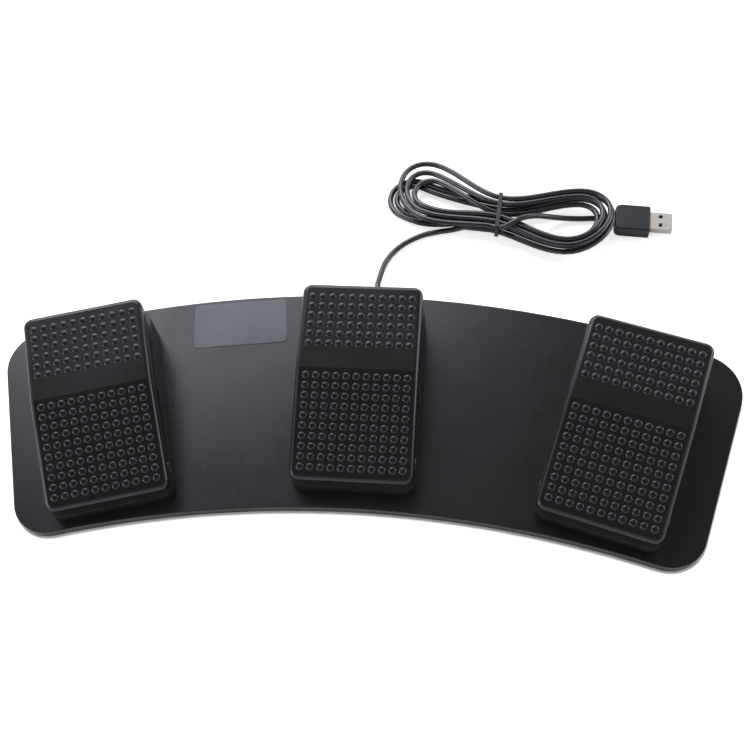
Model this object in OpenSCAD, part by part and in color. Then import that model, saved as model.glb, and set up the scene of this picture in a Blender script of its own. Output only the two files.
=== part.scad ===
// Three-pedal foot switch: an arc-shaped board that carries three hinged treadles and a USB lead.
// Millimetres, +Z up, +Y to the back. The origin is on the floor under the middle of the board.

/* [Board] */
// Radius of the board's back edge about the fan centre
back_r = 608; // [600:1:620]
// Radius of the board's hollow front edge
front_r = 598; // [570:1:630]
// Depth of the board on its centre line
board_d = 134; // [131:0.5:140]
// Half width of the board at mid depth
end_x = 197.5; // [195:0.5:206]
// Splay of each board end from the depth axis, in degrees
end_angle = 16.6; // [14:0.2:19]
// Corner radius at the back
back_corner_r = 24; // [14:1:27]
// Corner radius at the front
front_corner_r = 20; // [10:1:23]
// Height of the moulded cover
cover_h = 6; // [5.8:0.1:7]
// Wall of the moulded cover
cover_wall = 2; // [1.6:0.1:2.2]
// Rounding of the cover's top edge
cover_edge_r = 0.8; // [0.6:0.1:1.9]
// Thickness of the steel base plate
plate_t = 1.5; // [1:0.1:2.5]
// How far the plate stands out past the cover
plate_lip = 1.2; // [0.4:0.1:2]
// Height of the rubber feet
foot_h = 1.5; // [1.3:0.1:4]
// Diameter of the rubber feet
foot_d = 14; // [9:0.5:16]

/* [Treadles] */
// Radius from the fan centre to the treadles' fold line
fan_r = 541; // [538:0.5:544]
// Angle between neighbouring pedals
fan_angle = 15.4; // [14:0.1:16]
// Width of a treadle
tread_w = 66.8; // [64:0.1:69]
// Length of the flatter toe part along its slope
toe_len = 49.6; // [46:0.1:52]
// Length of the steeper heel part along its slope
heel_len = 61; // [58:0.5:62.5]
// Slope of the toe part at rest, in degrees
toe_tilt = 7.7; // [6:0.1:9.5]
// Slope of the heel part at rest, in degrees
heel_tilt = 18; // [16.5:0.1:19]
// Height of the fold line above the board
fold_h = 34.5; // [33:0.25:37]
// Depth of the treadle's skirt
skirt_h = 9.4; // [8.6:0.1:10]
// Wall of the treadle
tread_wall = 3; // [2.6:0.1:3.2]
// Rounding of the treadle's top edges
tread_edge_r = 1.4; // [1:0.1:2.8]
// Corner radius of the treadle in plan
tread_corner_r = 5; // [3:0.5:8]
// Turn of a treadle when it is pressed, in degrees
press_angle = 5.5; // [4:0.1:6]

/* [Grip studs] */
// Spacing of the studs both ways
stud_pitch = 5.5; // [5:0.1:5.6]
// Diameter of a stud
stud_d = 3.8; // [3:0.1:4.4]
// Height of a stud
stud_h = 0.9; // [0.5:0.1:1.4]
// Studs across a treadle
stud_cols = 11; // [5:1:11]
// Rows of studs on the toe part
toe_rows = 6; // [2:1:6]
// Rows of studs on the heel part
heel_rows = 10; // [4:1:10]
// From the fold line to the first toe row
toe_plain = 14.2; // [8:0.1:16]
// From the fold line to the first heel row
heel_plain = 4.4; // [3:0.2:6]

/* [Pedal bases] */
// How far a base stands out past its treadle at the sides
base_lip = 0.5; // [0:0.1:2]
// How far a base stands out past its treadle at the toe
base_toe_lip = 2.5; // [1:0.1:6]
// Side wall of a base
base_wall = 2.5; // [2:0.1:3]
// Roof of a base
base_roof = 2.8; // [2.6:0.1:3.2]
// Corner radius of a base in plan
base_corner_r = 6; // [3:0.5:8]
// Gap between a fully pressed treadle and its base
tread_gap = 0.5; // [0.3:0.1:1]

/* [Hinges] */
// Diameter of a hinge pin
pin_d = 3; // [2:0.1:3.4]
// Radial clearance of a pin in its holes
pin_clear = 0.05; // [0.03:0.01:0.08]
// How far each pin end stands out of the treadle
pin_out = 0.7; // [0.5:0.1:2.5]
// Distance of the hinge from the heel end
hinge_in = 14.5; // [13:0.5:18]
// Distance of the hinge below the treadle's top face
hinge_drop = 7; // [6.6:0.1:7.4]
// Thickness of a hinge lug
lug_t = 4.5; // [3:0.5:6]
// Gap round the lugs and ears
hinge_gap = 0.5; // [0.3:0.1:0.8]
// Radius of a treadle's ear round the pin
ear_r = 3.8; // [3.4:0.1:4]

/* [Springs and switches] */
// Outer diameter of a return spring
spring_d = 12; // [10:0.5:13]
// Wire of a return spring
spring_wire = 1.3; // [0.8:0.1:1.5]
// Turns of a return spring
spring_turns = 6; // [4:1:7]
// Depth of the spring cup below the base's roof
spring_cup_h = 11; // [8:0.5:12]
// Place of the spring behind the fold line
spring_v = 11; // [9:0.5:13]
// Size of a switch body across, along and up
switch_size = [20, 6.4, 10.5];
// Diameter of a switch button
button_d = 3; // [2:0.1:3.6]
// Distance of the button behind the hinge
button_back = 19.5; // [18:0.5:21]
// How far the button stands out of the base
button_out = 2.4; // [2.3:0.1:3]
// Gap between a button and the treadle's presser
button_gap = 0.3; // [0.25:0.05:0.5]
// Place of the treadle's stop hook behind the fold line
hook_v = 33; // [30:0.5:34]
// Width of the stop hook
hook_w = 12; // [8:0.5:16]
// Thickness of the stop hook
hook_t = 3; // [2.4:0.1:3.4]

/* [Controller] */
// Size of the controller board across, along and up
pcb_size = [38, 44, 1.6];
// Height of the posts under the controller board
pcb_post_h = 3; // [2:0.5:4]
// Size of the controller chip
chip_size = [10, 10, 1.6];

/* [Screws] */
// Diameter of a screw's shank
screw_d = 2.6; // [2:0.1:2.8]
// Diameter of a screw's head
screw_head_d = 5.4; // [4:0.1:6]
// Height of a screw's head
screw_head_h = 1.1; // [0.6:0.1:1.2]
// Outer diameter of the screw bosses
boss_d = 7; // [6:0.5:8]
// Depth of a pedal screw in its base
screw_grip = 4; // [3:0.5:4.5]

/* [Cable] */
// Diameter of the cable
cord_d = 3.4; // [3:0.1:3.4]
// Diameter of the wires inside the board
wire_d = 2; // [1.4:0.1:2.4]
// Length of the strain relief outside the board
gland_len = 8; // [5:0.5:10]
// Diameter of the strain relief
gland_d = 4.2; // [4:0.1:4.3]
// Place of the strain relief from the middle
gland_x = 3; // [0:0.5:6]
// Height of one layer of loops
hank_layer = 4; // [3.9:0.1:4.4]
// Rise of the hank towards the plug
hank_rise = 6.4; // [6.2:0.1:7]
// Width of the hank's tie
tie_w = 2.4; // [2:0.1:5]
// Thickness of the hank's tie
tie_t = 0.9; // [0.6:0.1:1.2]

/* [Plug] */
// Length, width and thickness of the plug's grip
grip_size = [21.2, 18.4, 8.4];
// Length, width and thickness of the plug's metal shell
shell_size = [13.2, 12, 4.5];
// Sheet of the metal shell
shell_t = 0.35; // [0.3:0.05:0.5]
// Thickness of the plug's tongue
tongue_t = 1.9; // [1.6:0.1:2]

/* [Hidden] */
$fn = 32;
eps = 0.01;
big = 400;
black = [0.10, 0.10, 0.11];
dark = [0.16, 0.16, 0.17];
steel = [0.75, 0.76, 0.78];

// Board heights
plate_top = foot_h + plate_t;
board_top = plate_top + cover_h;
cavity_top = board_top - cover_wall;

// Board outline: a back arc, a hollow front arc and two splayed ends, with round corners
mid_r = back_r - board_d / 2;
end_y = sqrt(mid_r * mid_r - end_x * end_x);
front_c = [0, back_r - board_d - front_r];
end_dir = [sin(end_angle), cos(end_angle)];
end_in = [-cos(end_angle), sin(end_angle)];
function dot2(a, b) = a[0] * b[0] + a[1] * b[1];
function polar(r, a) = r * [cos(a), sin(a)];
function arc(c, r, a0, a1, n) = [for (i = [0 : n]) c + polar(r, a0 + (a1 - a0) * i / n)];
// Centre of a corner circle that touches the end line and sits on a circle about c
function corner_c(c, ring, r, inset) =
    let (q = [end_x, end_y] + end_in * (inset + r) - c, b = dot2(q, end_dir))
    c + q + end_dir * (sqrt(b * b - dot2(q, q) + ring * ring) - b);
function angle_of(p) = atan2(p[1], p[0]);
function half_outline(inset) =
    let (rb = back_corner_r - inset, rf = front_corner_r - inset,
        cb = corner_c([0, 0], back_r - back_corner_r, rb, inset),
        cf = corner_c(front_c, front_r + front_corner_r, rf, inset))
    concat(arc([0, 0], back_r - inset, 90, angle_of(cb), 14),
        arc(cb, rb, angle_of(cb), -end_angle, 7),
        arc(cf, rf, -end_angle, angle_of(front_c - cf), 7),
        arc(front_c, front_r + inset, angle_of(cf - front_c), 90, 14));
function outline(inset) =
    let (h = half_outline(inset), n = len(h))
    concat([for (i = [0 : n - 1]) h[i]], [for (i = [n - 2 : -1 : 1]) [-h[i][0], h[i][1]]]);
front_corner_c = corner_c(front_c, front_r + front_corner_r, front_corner_r, 0);
// The fan centre lies this far in front of the origin, so the board's box is centred on it
fan_y = (back_r + front_corner_c[1] - front_corner_r) / 2;
back_y = back_r - fan_y;

// Pedal places
function side_of(i) = i < 0 ? "left" : i > 0 ? "right" : "centre";
function pedal_pt(i, p) =
    let (a = -i * fan_angle, v = fan_r + p[1])
    [p[0] * cos(a) - v * sin(a), p[0] * sin(a) + v * cos(a) - fan_y, p[2]];
module at_pedal(i) translate([0, -fan_y, 0]) rotate(-i * fan_angle) translate([0, fan_r, 0]) children();

// Treadle side view: v runs to the toe, z up, with the fold at v = 0
fold_z = board_top + fold_h;
heel_v = -heel_len * cos(heel_tilt);
heel_z = fold_z - heel_len * sin(heel_tilt);
toe_v = toe_len * cos(toe_tilt);
toe_z = fold_z + toe_len * sin(toe_tilt);
function top_z(v) = fold_z + v * tan(v < 0 ? heel_tilt : toe_tilt);
tread_roof = tread_wall / cos(heel_tilt);
hinge_v = heel_v + hinge_in;
hinge_z = top_z(hinge_v) - hinge_drop / cos(heel_tilt);
function pressed(p) =
    let (d = p - [hinge_v, hinge_z])
    [hinge_v + d[0] * cos(press_angle) + d[1] * sin(press_angle),
     hinge_z + d[1] * cos(press_angle) - d[0] * sin(press_angle)];

// Base side view, under the pressed treadle
base_w = tread_w + 2 * base_lip;
base_heel_v = heel_v + base_lip;
base_toe_v = toe_v + base_toe_lip;
under_heel = top_z(base_heel_v) - skirt_h - tread_gap;
under_hinge = top_z(hinge_v) - skirt_h - tread_gap;
under_fold = pressed([0, fold_z - skirt_h]) - [0, tread_gap];
under_toe = pressed([toe_v, toe_z - skirt_h]) - [0, tread_gap];
toe_rise = (under_toe[1] - under_fold[1]) / (under_toe[0] - under_fold[0]);
heel_rise = (under_fold[1] - under_hinge) / (under_fold[0] - hinge_v);
function base_z(v) = v < under_fold[0] ? under_hinge + (v - hinge_v) * heel_rise
    : under_fold[1] + (v - under_fold[0]) * toe_rise;
function base_side(inset, drop) = [[base_heel_v + inset, under_heel - drop], [hinge_v, under_hinge - drop],
    [under_fold[0], under_fold[1] - drop], [base_toe_v - inset, base_z(base_toe_v - inset) - drop]];

// Hinge lugs stand between the treadle's skirts
lug_out = tread_w / 2 - tread_wall - hinge_gap;
lug_r = hinge_drop - tread_wall - hinge_gap;
// An ear is set in from the treadle's side by half of this, and the section's edges reach past its sides
ear_set = 0.4;
edge_over = 0.04;
pin_hole_r = pin_d / 2 + pin_clear;
scallop_w = base_w / 2 - lug_out + 1;

// Springs, buttons and hooks
cup_r = spring_d / 2 + 0.9;
cup_wall = 1.6;
cup_floor = base_z(spring_v) - spring_cup_h;
peg_d = spring_d - 2 * spring_wire - 3.6;
peg_len = 5;
spring_top = top_z(spring_v - spring_d / 2) - tread_roof - 0.3;
button_v = hinge_v + button_back;
button_top = base_z(button_v) + button_out;
button_stroke = button_back * press_angle * PI / 180;
button_sunk = 3.5;
presser_r = 1.4;
hook_foot = 2.4;
hook_reach = 2.6;
hook_play = 0.2;
hook_swing = 1.8;
hook_z = base_z(hook_v - hook_t / 2 - hook_reach) - base_roof - hook_play;

// Screw places in a pedal, and on the open board between the pedals
hole_in = base_wall + boss_d / 2 - 0.6;
pedal_holes = [for (u = [-1, 1], v = [base_heel_v + hole_in, base_toe_v - hole_in])
    [u * (base_w / 2 - hole_in), v]];
screw_hole_r = screw_d / 2 + 0.25;
screw_bite_r = screw_d / 2 + 0.03;
edge_holes = [for (a = [-1, 1], k = [0.1, 0.9]) polar(back_r - board_d * k, 90 + a * fan_angle / 2) - [0, fan_y]];
foot_places = concat([for (v = [heel_v, toe_v + 8]) [0, [0, v]]],
    [for (i = [-1, 1], v = [-40, 30]) [i, [i * (tread_w / 2 + 4), v]]]);

// Controller board, under the centre pedal
pcb_v = 12;
pcb_z = board_top + pcb_post_h;
pcb_top = pcb_z + pcb_size[2];
pcb_posts = [for (u = [-1, 1], v = [-1, 1]) [u * (pcb_size[0] / 2 - 4), pcb_v + v * (pcb_size[1] / 2 - 4)]];

// Wires: from a switch down through the cover, along the board and up to the controller
terminal_len = 4;
wire_z = board_top + 3;
wire_low = plate_top + wire_d / 2 + 0.3;
wire_exit = switch_size[0] / 2 + terminal_len;
drop_u = wire_exit + 6.5;
drop_hole_r = wire_d / 2 + 2.2;
pad_z = pcb_top + wire_d / 2 + 0.1;

// The cable's centre line leaves the board at this height
cord_r = cord_d / 2;
gland_z = plate_top + gland_d / 2 + 0.1;
slot_v = [38, 47.6];
// Route of the cable inside, from the strain relief up to the controller board
inner_mid = [[50, 5.2], [47.5, 5.3], [45, 6.3], [43, 8], [41, 10.2], [39, 12.6], [37, 14.6], [34.5, 15.7], [31, 15.9]];
// Route of the lead over the floor, from the strain relief towards the hank
lead_mid = [[5.5, 105, 2.4], [10, 114.5, 1.8], [17, 122, 1.8], [27, 128.2, 1.8], [37, 131.4, 1.8], [46, 133, 2.3]];
// Route of the tail in the hank's own frame: over the waist, down into the lobe, out to the plug
tail_mid = [[-3, -12.3, 8.8], [2, -12.3, 9.1], [8, -11.6, 11.2], [13, -8.2, 13.4], [18, -3.6, 13.2], [25, 1, 10.4],
    [33, 4.2, 6.4], [41, 6.4, 3.4], [50, 7.6, 2.2], [59, 8.2, 2.2]];
hank_at = [72.9, 143.1];
hank_turn = -14;
hank_bend = 0.0023;
hank_from = -10;
// Each loop's round ends, as reach from the waist, radius and sideways place, in the order of winding
hank_right = [[69.4, 22.6, 0.9], [65.1, 18.3, 0.9], [60.8, 14, 0.9], [63.2, 16.6, 1.6], [67.6, 21, 1.6]];
hank_left = [[68.6, 14.7, -7.4], [64.3, 10.4, -7.4], [55.8, 10.4, -1], [60, 14.8, -0.7], [64.8, 20.6, 0.6]];
// Where the strands pass the waist, in the order of winding
hank_waist = [-11.6, 8.9, -7.3, 4.6, -3, 0.4, -3.2, 6.4, -7.6, 10.8, -12];
hank_climb = 26;
neck_rings = 4;
end_rings = 6;
plug_at = [145.2, 142.5];
plug_turn = -3.6;
plug_z = grip_size[2] / 2;

// A hank of loops: each loop lies inside the last, then they come out again one layer up
function smooth(x) = x <= 0 ? 0 : x >= 1 ? 1 : x * x * (3 - 2 * x);
function mix(a, b, k) = a + (b - a) * k;
function hank_place(p) =
    let (y = p[1] + hank_bend * p[0] * p[0])
    [hank_at[0] + p[0] * cos(hank_turn) - y * sin(hank_turn),
     hank_at[1] + p[0] * sin(hank_turn) + y * cos(hank_turn), p[2]];
hank_reach = hank_right[0][0];
function hank_lift(x) = cord_r + hank_rise * (x + hank_reach) / (2 * hank_reach);
// Half a loop: from the waist along the neck, round the end, and back along the other neck
function half_loop(side, b, from, to) =
    let (cx = b[0] - b[1], low = b[2] - side * b[1], high = b[2] + side * b[1])
    concat([for (k = [0 : neck_rings - 1])
            [side * cx * k / neck_rings, mix(from, low, smooth(k / neck_rings))]],
        [for (k = [0 : end_rings]) let (g = 180 * k / end_rings)
            [side * (cx + b[1] * sin(g)), b[2] - side * b[1] * cos(g)]],
        [for (k = [1 : neck_rings - 1])
            [side * cx * (1 - k / neck_rings), mix(high, to, smooth(k / neck_rings))]]);
function half_at(i) = half_loop(i % 2 == 0 ? 1 : -1, i % 2 == 0 ? hank_right[i / 2] : hank_left[(i - 1) / 2],
    hank_waist[i], hank_waist[i + 1]);
// The third loop climbs to the second layer where it passes the waist
function hank_layer_at(i, p) = i < 4 ? 0 : i > 5 ? 1 :
    p[1] > 0 ? smooth((hank_climb - p[0]) / (2 * hank_climb)) : i == 4 ? 0 : 1;
function neck_y(b, waist, low) = mix(waist, low, smooth(-hank_from / (b[0] - b[1])));
hank_turns = len(hank_right);
hank_last = hank_left[hank_turns - 1];
hank_first_y = neck_y(hank_left[0], hank_waist[0], hank_left[0][2] - hank_left[0][1] - 4.3 * cord_d / 3.4);
hank_last_y = neck_y(hank_last, hank_waist[2 * hank_turns], hank_last[2] - hank_last[1]);
hank_flat_pts = concat([[hank_from, hank_first_y, 0]],
    [for (i = [0 : 2 * hank_turns - 1]) for (p = half_at(i))
        if (i < 2 * hank_turns - 1 || p[1] > 0 || p[0] < hank_from - 4) [p[0], p[1], hank_layer_at(i, p)]],
    [[hank_from, hank_last_y, 1]]);
hank_rings = len(hank_flat_pts) - 1;
function straight_end(p, q) = p + (p - q) / norm(p - q) * cord_d;
hank_loop_pts = [for (p = hank_flat_pts) hank_place([p[0], p[1], hank_lift(p[0]) + hank_layer * p[2]])];
hank_start = straight_end(hank_loop_pts[0], hank_loop_pts[1]);
hank_end = straight_end(hank_loop_pts[hank_rings], hank_loop_pts[hank_rings - 1]);
hank_pts = concat([hank_start], hank_loop_pts, [hank_end]);
hank_gap = min([for (i = [0 : hank_rings], j = [i + 2 * end_rings : 1 : hank_rings])
    norm(hank_loop_pts[i] - hank_loop_pts[j])]) - cord_d;
spring_gap = (spring_top - cup_floor - spring_wire) / spring_turns - spring_wire;
echo(hank_gap = hank_gap, spring_gap = spring_gap);

lead_pts = concat([[gland_x, back_y + gland_len, gland_z], [gland_x, back_y + gland_len + cord_d, gland_z]],
    lead_mid, [straight_end(hank_start, hank_loop_pts[0]), hank_start]);
plug_tail = [plug_at[0], plug_at[1], plug_z];
plug_before = plug_tail - cord_d * [cos(plug_turn), sin(plug_turn), 0];
tail_pts = concat([hank_end, straight_end(hank_end, hank_loop_pts[hank_rings])],
    [for (p = tail_mid) hank_place(p)], [plug_before, plug_tail]);

// A tube swept along points, with its caps square to the route
function unit(v) = v / norm(v);
function along(pts, i) = unit(pts[min(i + 1, len(pts) - 1)] - pts[max(i - 1, 0)]);
function tube_ring(p, t, r, n) =
    let (s = unit(cross(t, [0, 0, 1])), u = cross(s, t))
    [for (k = [0 : n - 1]) p + r * (s * cos(360 * k / n) + u * sin(360 * k / n))];
module tube(pts, r, n = 8) {
    m = len(pts);
    rings = [for (i = [0 : m - 1]) each tube_ring(pts[i], along(pts, i), r, n)];
    sides = [for (i = [0 : m - 2], k = [0 : n - 1])
        let (a = i * n + k, b = i * n + (k + 1) % n)
        each [[a, a + n, b], [b, a + n, b + n]]];
    first = [for (k = [1 : n - 2]) [0, k, k + 1]];
    last = [for (k = [1 : n - 2]) [(m - 1) * n, (m - 1) * n + k + 1, (m - 1) * n + k]];
    polyhedron(rings, concat(sides, first, last));
}
// Points between hand-chosen ones, along a smooth curve through them
function spline(p0, p1, p2, p3, t) =
    0.5 * (2 * p1 + (p2 - p0) * t + (2 * p0 - 5 * p1 + 4 * p2 - p3) * t * t
        + (3 * p1 - p0 - 3 * p2 + p3) * t * t * t);
function eased(pts, n) =
    let (m = len(pts))
    concat([for (i = [0 : m - 2], k = [0 : n - 1])
        spline(pts[max(i - 1, 0)], pts[i], pts[i + 1], pts[min(i + 2, m - 1)], k / n)], [pts[m - 1]]);

// The same, with the first and last stretch left straight
function straight_ends(pts, n) =
    let (m = len(pts))
    concat([pts[0]], eased([for (i = [1 : m - 2]) pts[i]], n), [pts[m - 1]]);

// A rounded rectangle from y0 to y1, and a side view pushed out across the pedal
module rounded(w, y0, y1, r)
    polygon(concat(arc([w / 2 - r, y1 - r], r, 90, 0, 6), arc([w / 2 - r, y0 + r], r, 0, -90, 6),
        arc([-w / 2 + r, y0 + r], r, -90, -180, 6), arc([-w / 2 + r, y1 - r], r, 180, 90, 6)));
module across(w) rotate([90, 0, 90]) translate([0, 0, -w / 2]) linear_extrude(w) children();
module pin_along_x(r, len) rotate([0, 90, 0]) cylinder(r = r, h = len, center = true);

// Base plate, cover, feet and screws
module base_plate() color(steel)
    translate([0, 0, foot_h]) linear_extrude(plate_t) difference() {
        translate([0, -fan_y]) polygon(outline(-plate_lip));
        for (p = edge_holes) translate(p) circle(screw_hole_r);
        for (i = [-1 : 1], h = pedal_holes) translate(pedal_pt(i, [h[0], h[1], 0])) circle(screw_hole_r);
    }

module cover_skin() {
    steps = 3;
    levels = concat([[0, plate_top]], [for (k = [0 : steps])
        [cover_edge_r * (1 - cos(90 * k / steps)), board_top - cover_edge_r * (1 - sin(90 * k / steps))]]);
    n = len(outline(0));
    m = len(levels);
    pts = [for (l = levels) each [for (p = outline(l[0])) [p[0], p[1] - fan_y, l[1]]]];
    sides = [for (i = [0 : m - 2], k = [0 : n - 1])
        let (a = i * n + k, b = i * n + (k + 1) % n)
        each [[a, a + n, b], [b, a + n, b + n]]];
    polyhedron(pts, concat(sides, [[for (k = [n - 1 : -1 : 0]) k]], [[for (k = [0 : n - 1]) (m - 1) * n + k]]));
}

module board_cover() color(black) difference() {
    union() {
        difference() {
            cover_skin();
            translate([0, -fan_y, plate_top - 1]) linear_extrude(cavity_top - plate_top + 1)
                polygon(outline(cover_wall));
        }
        for (p = edge_holes) translate([p[0], p[1], plate_top]) cylinder(d = boss_d, h = cover_h - cover_wall / 2);
        for (i = [-1 : 1]) at_pedal(i) for (h = pedal_holes) translate([h[0], h[1], plate_top])
            cylinder(d = boss_d, h = cover_h - cover_wall / 2);
        at_pedal(0) for (p = pcb_posts) translate([p[0], p[1], board_top - cover_wall / 2])
            cylinder(d = 5, h = pcb_post_h + cover_wall / 2);
    }
    for (p = edge_holes) translate([p[0], p[1], plate_top - 1]) cylinder(r = screw_bite_r, h = cover_h - cover_wall + 0.8);
    for (i = [-1 : 1]) at_pedal(i) {
        for (h = pedal_holes) translate([h[0], h[1], plate_top - 1]) cylinder(r = screw_hole_r, h = cover_h + 2);
        for (s = i == 0 ? [-1, 1] : [-i]) translate([s * drop_u, button_v, cavity_top - 1])
            cylinder(r = drop_hole_r, h = cover_wall + 2);
    }
    at_pedal(0) translate([gland_x - cord_d, slot_v[0], cavity_top - 1])
        cube([2 * cord_d, slot_v[1] - slot_v[0], cover_wall + 2]);
    translate([gland_x, back_y, gland_z]) rotate([90, 0, 0]) cylinder(d = gland_d + 0.1, h = 8, center = true);
}

module rubber_feet() color(dark)
    for (f = foot_places) translate(pedal_pt(f[0], [f[1][0], f[1][1], 0])) cylinder(d = foot_d, h = foot_h);

module screw(len) {
    translate([0, 0, foot_h - screw_head_h]) cylinder(d = screw_head_d, h = screw_head_h);
    translate([0, 0, foot_h - eps]) cylinder(d = screw_d, h = len + eps);
}
module pedal_screws() color(steel)
    for (i = [-1 : 1], h = pedal_holes) translate(pedal_pt(i, [h[0], h[1], 0]))
        screw(board_top - foot_h + screw_grip);
module edge_screws() color(steel)
    for (p = edge_holes) translate(p) screw(cavity_top - foot_h - 0.3);

// Pedal base: a wedge-shaped shell, open below
module base_shape(inset, drop, floor_z, r)
    intersection() {
        across(base_w - 2 * inset) polygon(concat([[base_heel_v + inset, floor_z]], base_side(inset, drop),
            [[base_toe_v - inset, floor_z]]));
        linear_extrude(big) rounded(base_w - 2 * inset, base_heel_v + inset, base_toe_v - inset, r);
    }

module pedal_base() color(dark) {
    difference() {
        union() {
            difference() {
                base_shape(0, 0, board_top, base_corner_r);
                base_shape(base_wall, base_roof, board_top - 1, max(base_corner_r - base_wall, 0.5));
            }
            intersection() {
                base_shape(base_wall / 2, base_roof / 2, board_top, base_corner_r / 2);
                union() {
                    for (h = pedal_holes) translate(h) cylinder(d = boss_d, h = big);
                    translate([0, spring_v, cup_floor - cup_wall]) cylinder(r = cup_r + cup_wall, h = big);
                }
            }
            for (s = [-1, 1]) translate([s * (lug_out - lug_t / 2), hinge_v, 0]) {
                translate([0, 0, hinge_z]) pin_along_x(lug_r, lug_t);
                translate([-lug_t / 2, -lug_r, under_hinge - base_roof]) cube([lug_t, 2 * lug_r,
                    hinge_z - under_hinge + base_roof]);
            }
        }
        translate([0, spring_v, cup_floor]) cylinder(r = cup_r, h = big);
        translate([0, hinge_v, hinge_z]) pin_along_x(pin_hole_r, big);
        for (s = [-1, 1]) translate([s * (lug_out + 0.1 + scallop_w / 2), hinge_v, hinge_z])
            pin_along_x(ear_r + hinge_gap, scallop_w);
        translate([0, button_v, board_top]) cylinder(d = button_d + 1, h = big);
        translate([-hook_w / 2 - hinge_gap, hook_v - hook_t / 2 - hinge_gap, board_top + 5])
            cube([hook_w + 2 * hinge_gap, hook_t + 2 * hinge_gap + hook_swing, big]);
        for (h = pedal_holes) translate([h[0], h[1], board_top - 1])
            cylinder(r = screw_bite_r, h = screw_grip + 1.5);
    }
}

// Treadle: a folded, rounded shell with grip studs, hinge ears, presser, spring peg and stop hook
module under_slope(tilt)
    rotate([tilt, 0, 0]) translate([0, big / 2, 0]) rotate([90, 0, 0]) linear_extrude(big)
        polygon(concat([[-tread_w / 2 - edge_over, -big / 4]],
            arc([-tread_w / 2 - edge_over + tread_edge_r, -tread_edge_r], tread_edge_r, 180, 90, 5),
            arc([tread_w / 2 + edge_over - tread_edge_r, -tread_edge_r], tread_edge_r, 90, 0, 5),
            [[tread_w / 2 + edge_over, -big / 4]]));
// Corner arcs of the side view, where the slopes meet the end faces
function end_arc(v, tilt, a0, a1) = arc([v, top_z(v) - tread_edge_r / cos(tilt)], tread_edge_r, a0, a1, 5);
module treadle_side()
    polygon(concat([[heel_v - edge_over, heel_z - skirt_h - edge_over * tan(heel_tilt)]],
        end_arc(heel_v - edge_over + tread_edge_r, heel_tilt, 180, 90 + heel_tilt), [[0, fold_z + edge_over]],
        end_arc(toe_v + edge_over - tread_edge_r, toe_tilt, 90 + toe_tilt, 0),
        [[toe_v + edge_over, toe_z - skirt_h + edge_over * tan(toe_tilt)], [0, fold_z - skirt_h]]));
module treadle_hollow()
    polygon([[heel_v + tread_wall, board_top], [heel_v + tread_wall, top_z(heel_v + tread_wall) - tread_roof],
        [0, fold_z - tread_roof], [toe_v - tread_wall, top_z(toe_v - tread_wall) - tread_roof],
        [toe_v - tread_wall, board_top]]);
module stud_rows(tilt, rows, first, s)
    translate([0, 0, fold_z]) rotate([tilt, 0, 0])
        for (r = [0 : rows - 1], c = [0 : stud_cols - 1])
            translate([(c - (stud_cols - 1) / 2) * stud_pitch, s * (first + r * stud_pitch), -tread_wall / 4])
                cylinder(d1 = stud_d, d2 = stud_d * 0.7, h = stud_h + tread_wall / 4, $fn = 16);

module treadle() color(black) {
    difference() {
        union() {
            difference() {
                intersection() {
                    across(tread_w + 2) treadle_side();
                    linear_extrude(big) rounded(tread_w, heel_v, toe_v, tread_corner_r);
                    translate([0, 0, fold_z]) under_slope(toe_tilt);
                    translate([0, 0, fold_z]) under_slope(heel_tilt);
                }
                across(tread_w - 2 * tread_wall) treadle_hollow();
            }
            for (s = [-1, 1]) translate([s * (tread_w - tread_wall - ear_set) / 2, hinge_v, hinge_z])
                pin_along_x(ear_r, tread_wall);
            translate([0, button_v, button_top + button_gap]) cylinder(r1 = presser_r, r2 = presser_r + 1.6,
                h = top_z(button_v) - button_top - button_gap - tread_roof / 2);
            translate([0, spring_v, top_z(spring_v) - tread_roof - peg_len])
                cylinder(d = peg_d, h = peg_len + tread_roof / 2);
            across(hook_w) polygon([[hook_v + hook_t / 2, top_z(hook_v) - tread_roof / 2],
                [hook_v + hook_t / 2, hook_z - hook_foot], [hook_v - hook_t / 2 - hook_reach, hook_z - hook_foot],
                [hook_v - hook_t / 2 - hook_reach, hook_z], [hook_v - hook_t / 2, hook_z],
                [hook_v - hook_t / 2, top_z(hook_v) - tread_roof / 2]]);
            stud_rows(toe_tilt, toe_rows, toe_plain, 1);
            stud_rows(heel_tilt, heel_rows, heel_plain, -1);
        }
        translate([0, hinge_v, hinge_z]) pin_along_x(pin_hole_r, big);
    }
}

// Hinge pin, spring, switch and button of one pedal
module hinge_pin() color(steel)
    translate([0, hinge_v, hinge_z]) pin_along_x(pin_d / 2, tread_w + 2 * pin_out);
module spring() color(steel)
    tube([for (k = [0 : spring_turns * 8])
        let (a = 45 * k, r = (spring_d - spring_wire) / 2)
        [r * cos(a), spring_v + r * sin(a), cup_floor + spring_wire / 2
            + (spring_top - cup_floor - spring_wire) * k / (spring_turns * 8)]], spring_wire / 2, 6);
module switch_body(s) color(dark) difference() {
    union() {
        translate([-switch_size[0] / 2, button_v - switch_size[1] / 2, board_top]) cube(switch_size);
        for (z = [wire_z - 0.4, wire_z + 4]) translate([s > 0 ? 0 : -wire_exit, button_v - 1.6, z])
            cube([wire_exit, 3.2, 0.8]);
    }
    translate([0, button_v, board_top + switch_size[2] - button_sunk - button_stroke - 0.4])
        cylinder(r = button_d / 2 + pin_clear, h = big);
}
module button() color([0.7, 0.1, 0.1])
    translate([0, button_v, board_top + switch_size[2] - button_sunk])
        cylinder(d = button_d, h = button_top - board_top - switch_size[2] + button_sunk);

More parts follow.
